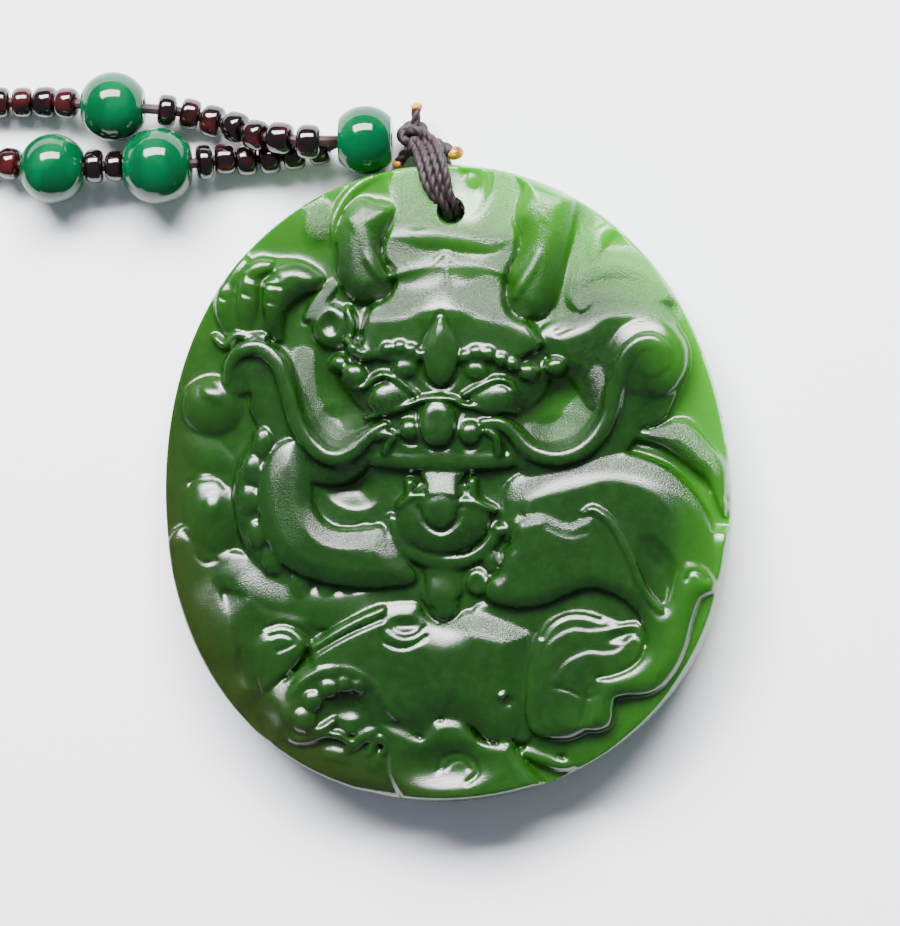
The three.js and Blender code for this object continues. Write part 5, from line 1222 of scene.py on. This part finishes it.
# The way of the four strands together: x and y from the hole's middle, height, and the half
# width and half thickness of the bundle
bail_rows = smooth_rows([
    (-3.1, 6.6, 2.6, 1.1, 0.6), (-2.4, 5.75, 3.7, 1.35, 0.5), (-2.05, 5.1, GROUND - 0.45, 1.4, 0.47),
    (-1.75, 4.3, GROUND + 0.3, 1.4, 0.47), (-1.4, 3.0, front + 0.95, 1.4, 0.47),
    (-0.95, 1.7, front + 0.8, 1.2, 0.52), (-0.35, 0.65, front + 0.3, 0.95, 0.62),
    (0, 0, front - 0.9, 0.8, 0.8), (0, 0, front / 2 + 0.3, 0.8, 0.8), (0, 0.05, 1.75, 0.82, 0.8),
    (-0.15, 0.75, 0.8, 1.15, 0.55), (-0.7, 2.0, 0.62, 1.35, 0.46), (-1.5, 3.6, 0.62, 1.4, 0.46),
    (-2.1, 5.1, 0.8, 1.4, 0.5), (-2.9, 6.2, 1.5, 1.2, 0.6)], steps=14)
bail_path = bail_rows[:, :3] + [HOLE_RIGHT, HOLE_UP, 0]
bunched = ramp(bail_rows[:, 4:5] / bail_rows[:, 3:4], 0.36, 0.6)
bail_frames = frames_along(bail_path, BAIL_ACROSS)

# Each strand's place across the flat bundle, and aside and over in the round one
strand_places = [
    (-0.72, -0.36, -0.35), (-0.24, -0.35, 0.36), (0.24, 0.35, -0.36), (0.72, 0.36, 0.35)]
bail_parts = []
for flat_aside, round_aside, round_over in strand_places:
    aside = bail_rows[:, 3:4] * flat_aside * (1 - bunched) + round_aside * bunched
    over = 0.1 * np.sign(round_over) * (1 - bunched) + round_over * bunched
    strand_path = bail_path + aside * bail_frames[1] + over * bail_frames[2]
    strand_frames = frames_along(strand_path, BAIL_ACROSS)
    rings = tube(strand_path, STRAND / 2, 16, strand_frames, twist=2.3, depth=0.28)
    bail_parts.append(closed_tube(rings))
bail = add_piece("bail_strands", bail_parts, crease=60)
bail_cord = braided_cord("bail_polyester", "#2c181f", "#0c0506")
bail.data.materials.append(bail_cord)


# Knot: the same brown cord drawn tight above the rim, a trefoil in its course, which keeps
# the top bead beside the plaque. Its three cut ends stand out of it.
KNOT_POINTS = 216
KNOT_YARN = 0.52  # half thickness of the cord in the knot
KNOT_TURN = np.array([[0.8, 0.0, 0.6], [0.0, 1.0, 0.0], [-0.6, 0.0, 0.8]])
KNOT_ACROSS = np.array([0.3, 0.2, 0.93])

t = np.linspace(0, 2 * math.pi, KNOT_POINTS, endpoint=False)
out_from_middle = 0.82 + 0.42 * np.cos(3 * t)
knot_path = np.column_stack([
    out_from_middle * np.cos(2 * t), out_from_middle * np.sin(2 * t), 0.72 * np.sin(3 * t)])
knot_path = knot_middle + knot_path @ KNOT_TURN
wrapped = np.vstack([knot_path[-2:], knot_path, knot_path[:2]])
knot_frames = [q[2:-2] for q in frames_along(wrapped, KNOT_ACROSS)]
knot_rings = tube(knot_path, KNOT_YARN, 16, knot_frames, twist=2.2, depth=0.25)
knot_parts = [(knot_rings.reshape(-1, 3), skin(knot_rings, along_closed=True))]
for rows, radius in [
        ([(0.1, 1.2, 0.3), (0.15, 1.9, 0.45), (0.2, 2.6, 0.5)], 0.45),
        ([(-0.6, -1.0, -0.6), (-1.1, -1.6, -0.9), (-1.5, -2.1, -1.05)], 0.5),
        ([(1.0, -0.1, 0.6), (2.2, -0.7, 1.2), (3.35, -1.3, 1.3)], 0.66)]:
    path = smooth_rows(knot_middle + np.array(rows), steps=10)
    rings = tube(path, radius, 16, frames_along(path, KNOT_ACROSS), twist=2.2, depth=0.25)
    knot_parts.append(closed_tube(rings))
knot = add_piece("bail_knot", knot_parts, crease=60)
knot.data.materials.append(bail_cord)


# Melted ends: the cord's cut ends, held in a flame and pressed round so that they can't fray.
# The polyester is now a clear amber drop on each.
def melted_polyester():
    """Polyester that has been molten: amber, glassy, brown where it was scorched."""
    material, tree = new_material("melted_polyester")
    scorched = spread(tree, noise(tree, 0.9, 2), 0.4, 0.65)
    add_shader(tree, {
        "Base Color": blend_colours(tree, scorched, "#c88a2c", "#5a3418"), "Roughness": 0.22,
        "IOR": 1.55, "Subsurface Weight": 0.4, "Subsurface Radius": (1.0, 0.5, 0.15),
        "Subsurface Scale": 0.0006})
    return material


def drop_shape(middle, size):
    """A ball with slow dents, drawn out to the given half sizes."""
    theta = np.linspace(0.02, math.pi - 0.02, 20)[:, None]
    phi = np.linspace(0, 2 * math.pi, 28, endpoint=False)[None, :]
    r = 1 + 0.08 * np.sin(2 * phi + 1) * np.sin(theta) + 0.05 * np.cos(3 * theta)
    level = r * np.sin(theta)
    ball = np.dstack([level * np.cos(phi), level * np.sin(phi), r * np.cos(theta) + 0 * phi])
    return closed_tube(middle + ball * np.array(size))


tips = add_piece("melted_ends", [
    drop_shape(knot_middle + [3.75, -1.4, 1.35], (0.75, 0.68, 0.6)),
    drop_shape(knot_middle + [-1.62, -2.3, -1.1], (0.5, 0.55, 0.5)),
    drop_shape(knot_middle + [0.22, 2.8, 0.5], (0.5, 0.45, 0.45))])
tips.data.materials.append(melted_polyester())
for piece in (bail, knot, tips):
    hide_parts("bail_cord")
    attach(piece, "root")


# Green beads: dyed chalcedony, ground round with small flats at the bore and highly
# polished. One sits at the knot, three are in view on the strands, the rest in the coil.
def bead_profile(width, length, bore, steps):
    """Half of an oval cut off at both ends, with a small round into the bore at either end."""
    reach = math.asin(min(length / width, 0.99))
    a = np.linspace(-reach, reach, steps)
    outside = np.column_stack([width / 2 * np.cos(a), width / 2 * np.sin(a)])
    outside[:, 1] *= length / 2 / outside[-1, 1]
    lip = outside[-1, 0] * 0.5 + bore / 4
    top_flat = [(lip, length / 2 + 0.03), (bore / 2 + 0.1, length / 2), (bore / 2, length / 2 - 0.12)]
    bottom_flat = [(r, -h) for r, h in reversed(top_flat)]
    return np.vstack([bottom_flat, outside, top_flat])


def bead_at(rings, middle, way):
    """The bead's rings turned from the Z axis to the thread's direction."""
    way = way / np.linalg.norm(way)
    aside = np.cross([0.0, 0.0, 1.0], way)
    aside = aside / max(np.linalg.norm(aside), 1e-9)
    above = np.cross(way, aside)
    turned = rings @ np.array([aside, above, way])
    points = (turned + middle).reshape(-1, 3)
    return points, skin(rings, along_closed=True)


def dyed_chalcedony():
    """Chalcedony dyed green: even colour with faint wavy bands, very smooth, and a little light
    goes into it."""
    material, tree = new_material("dyed_chalcedony")
    bands = add_node(tree, "ShaderNodeTexWave", {
        "Vector": object_place(tree), "Scale": 0.09 / MM, "Distortion": 6, "Detail": 3,
        "Detail Scale": 2.0}, wave_type="BANDS")
    banded = spread(tree, bands.outputs["Fac"], 0.2, 0.9, 0.0, 0.5)
    clouded = spread(tree, noise(tree, 0.26, 3), 0.4, 0.8, 0.0, 0.5)
    even = blend_colours(tree, banded, "#004424", "#005a34")
    add_shader(tree, {
        "Base Color": blend_colours(tree, clouded, even, "#00331c"), "Roughness": 0.07, "IOR": 1.47,
        "Subsurface Weight": 0.3, "Subsurface Radius": (0.2, 1.0, 0.6), "Subsurface Scale": 0.0015})
    return material


BORE = 1.3
chalcedony = dyed_chalcedony()
TO_LEFT = np.array([-1.0, 0.0, 0.0])
for node in ("top_bead", "green_bead_1", "green_bead_2", "green_bead_3"):
    low, high = (np.array(c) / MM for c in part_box(node))
    length, width = high[0] - low[0], high[2] - low[2]
    rings = lathe(bead_profile(width, length, BORE, 40), 56)
    bead = add_piece(node + "_polished", [bead_at(rings, (low + high) / 2, TO_LEFT)])
    bead.data.materials.append(chalcedony)
    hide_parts(node)
    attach(bead, "root")


def along_thread(places):
    """Points of the thread and its directions at the given lengths from its start."""
    way = np.gradient(thread_path, axis=0)
    at = np.column_stack([np.interp(places, thread_length, thread_path[:, k]) for k in range(3)])
    towards = np.column_stack([np.interp(places, thread_length, way[:, k]) for k in range(3)])
    return at, towards


COILED_WIDE = green_width - 0.9  # these beads are a little smaller than those in view
COILED_LONG = GREEN_LONG - 0.2
coiled_rings = lathe(bead_profile(COILED_WIDE, COILED_LONG, BORE, 12), 20)
coiled_green = add_piece("green_beads_coiled", [
    bead_at(coiled_rings, at, way) for at, way in zip(*along_thread(green_at))])
coiled_green.data.materials.append(chalcedony)
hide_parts("necklace_coil")
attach(coiled_green, "root")


# Black beads: short pieces of drawn glass tube, tumbled hot so that their edges are round,
# and strung close together on the thread between the green beads.
def tumbled_glass():
    """Glass, nearly black, with a wine red that shows where light gets in."""
    material, tree = new_material("tumbled_black_glass")
    reddish = spread(tree, noise(tree, 0.33, 1), 0.5, 0.72)
    add_shader(tree, {
        "Base Color": blend_colours(tree, reddish, "#0d0506", "#3a0d10"), "Roughness": 0.09,
        "IOR": 1.52, "Coat Weight": 0.4, "Coat Roughness": 0.04})
    return material


def tumbled_profile(width, length, bore, steps):
    """A short tube whose wall is a half oval in section, squared up a little."""
    a = np.linspace(-0.5 * math.pi, 0.5 * math.pi, steps)
    wall = (width - bore) / 2
    r = bore / 2 + wall * np.abs(np.cos(a)) ** 0.55
    h = length / 2 * np.sign(np.sin(a)) * np.abs(np.sin(a)) ** 0.7
    return np.column_stack([r, h])


BLACK_BORE = 1.0
black_glass = tumbled_glass()


def black_string(name, rows, sizes, around, steps):
    """Beads at the rows (middle and direction), each with its own width and length."""
    parts = []
    for (middle, way), (width, length) in zip(rows, sizes):
        rings = lathe(tumbled_profile(width, length, BLACK_BORE, steps), around)
        parts.append(bead_at(rings, middle, way))
    piece = add_piece(name, parts, crease=80)
    piece.data.materials.append(black_glass)
    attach(piece, "root")
    return piece


# Width and length of each black bead in view, by its place in its strand's rows
upper_sizes = {
    2: (3.1, 2.1), 3: (2.9, 2.2), 4: (2.8, 1.9), 5: (2.8, 1.9), 6: (2.9, 1.9), 7: (2.8, 1.8),
    8: (2.9, 1.7), 10: (2.8, 1.9), 11: (2.9, 2.0)}
lower_sizes = {
    2: (2.7, 1.9), 3: (2.8, 2.0), 4: (2.9, 1.9), 5: (2.8, 1.9), 6: (2.8, 2.0), 7: (3.2, 1.5),
    9: (2.8, 1.7), 10: (3.1, 1.7), 12: (2.9, 1.9), 13: (2.8, 1.9)}
seen_beads = []
seen_sizes = []
for rows, sizes in ((upper_rows, upper_sizes), (lower_rows, lower_sizes)):
    way = np.gradient(rows, axis=0)
    for k, size in sizes.items():
        seen_beads.append((rows[k], way[k]))
        seen_sizes.append(size)
near_beads = black_string("black_beads_near", seen_beads, seen_sizes, 32, 15)
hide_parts("black_beads_upper", "black_beads_lower", "black_beads_end")
tumbled = np.sin(np.arange(len(black_at)) * 2.4)  # sizes vary a little from bead to bead
coil_sizes = [(2.8 + 0.12 * s, 1.85 + 0.08 * s) for s in tumbled]
coiled_beads = black_string("black_beads_coiled", list(zip(*along_thread(black_at))), coil_sizes, 16, 9)
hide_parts("necklace_upper", "necklace_lower", "necklace_coil")


# Floor: no part of the pendant, only the wide sheet of matt paper that it lies on, pale and
# a little bluish.
def matt_sheet():
    """Smooth paper without any gloss."""
    material, tree = new_material("matt_sheet")
    add_shader(tree, {"Base Color": hex_colour("#fafbff"), "Roughness": 0.8})
    return material


FLOOR_HALF = 700
corners = np.array([(-1, -1, 0), (1, -1, 0), (1, 1, 0), (-1, 1, 0)]) * FLOOR_HALF
floor_mesh = bpy.data.meshes.new("floor")
floor_mesh.from_pydata((corners * MM).tolist(), [], [(0, 1, 2, 3)])
floor = bpy.data.objects.new("floor", floor_mesh)
bpy.context.collection.objects.link(floor)
floor_mesh.materials.append(matt_sheet())


# Light: a long soft window beyond the pendant's top, which draws the bright streaks on the
# polish, a weak second one at the left, and pale air all round.
def soft_light(name, place, size, power, colour):
    """A lit rectangle at the place, facing the pendant."""
    data = bpy.data.lights.new(name, "AREA")
    data.shape = "RECTANGLE"
    data.size, data.size_y = size
    data.energy = power
    data.color = hex_colour(colour)[:3]
    light = bpy.data.objects.new(name, data)
    bpy.context.collection.objects.link(light)
    light.location = Vector(place)
    light.rotation_euler = (-light.location).to_track_quat("-Z", "Y").to_euler()


soft_light("window", (-0.06, 0.46, 0.46), (0.70, 0.26), 27.0, "#ffffff")
soft_light("side", (-0.30, 0.40, 0.50), (0.25, 0.25), 1.5, "#f4f8ff")
world = bpy.data.worlds.new("pale_air")
world.use_nodes = True
air = world.node_tree.nodes["Background"]
air.inputs["Color"].default_value = hex_colour("#e4ecfb")
air.inputs["Strength"].default_value = 0.25
bpy.context.scene.world = world
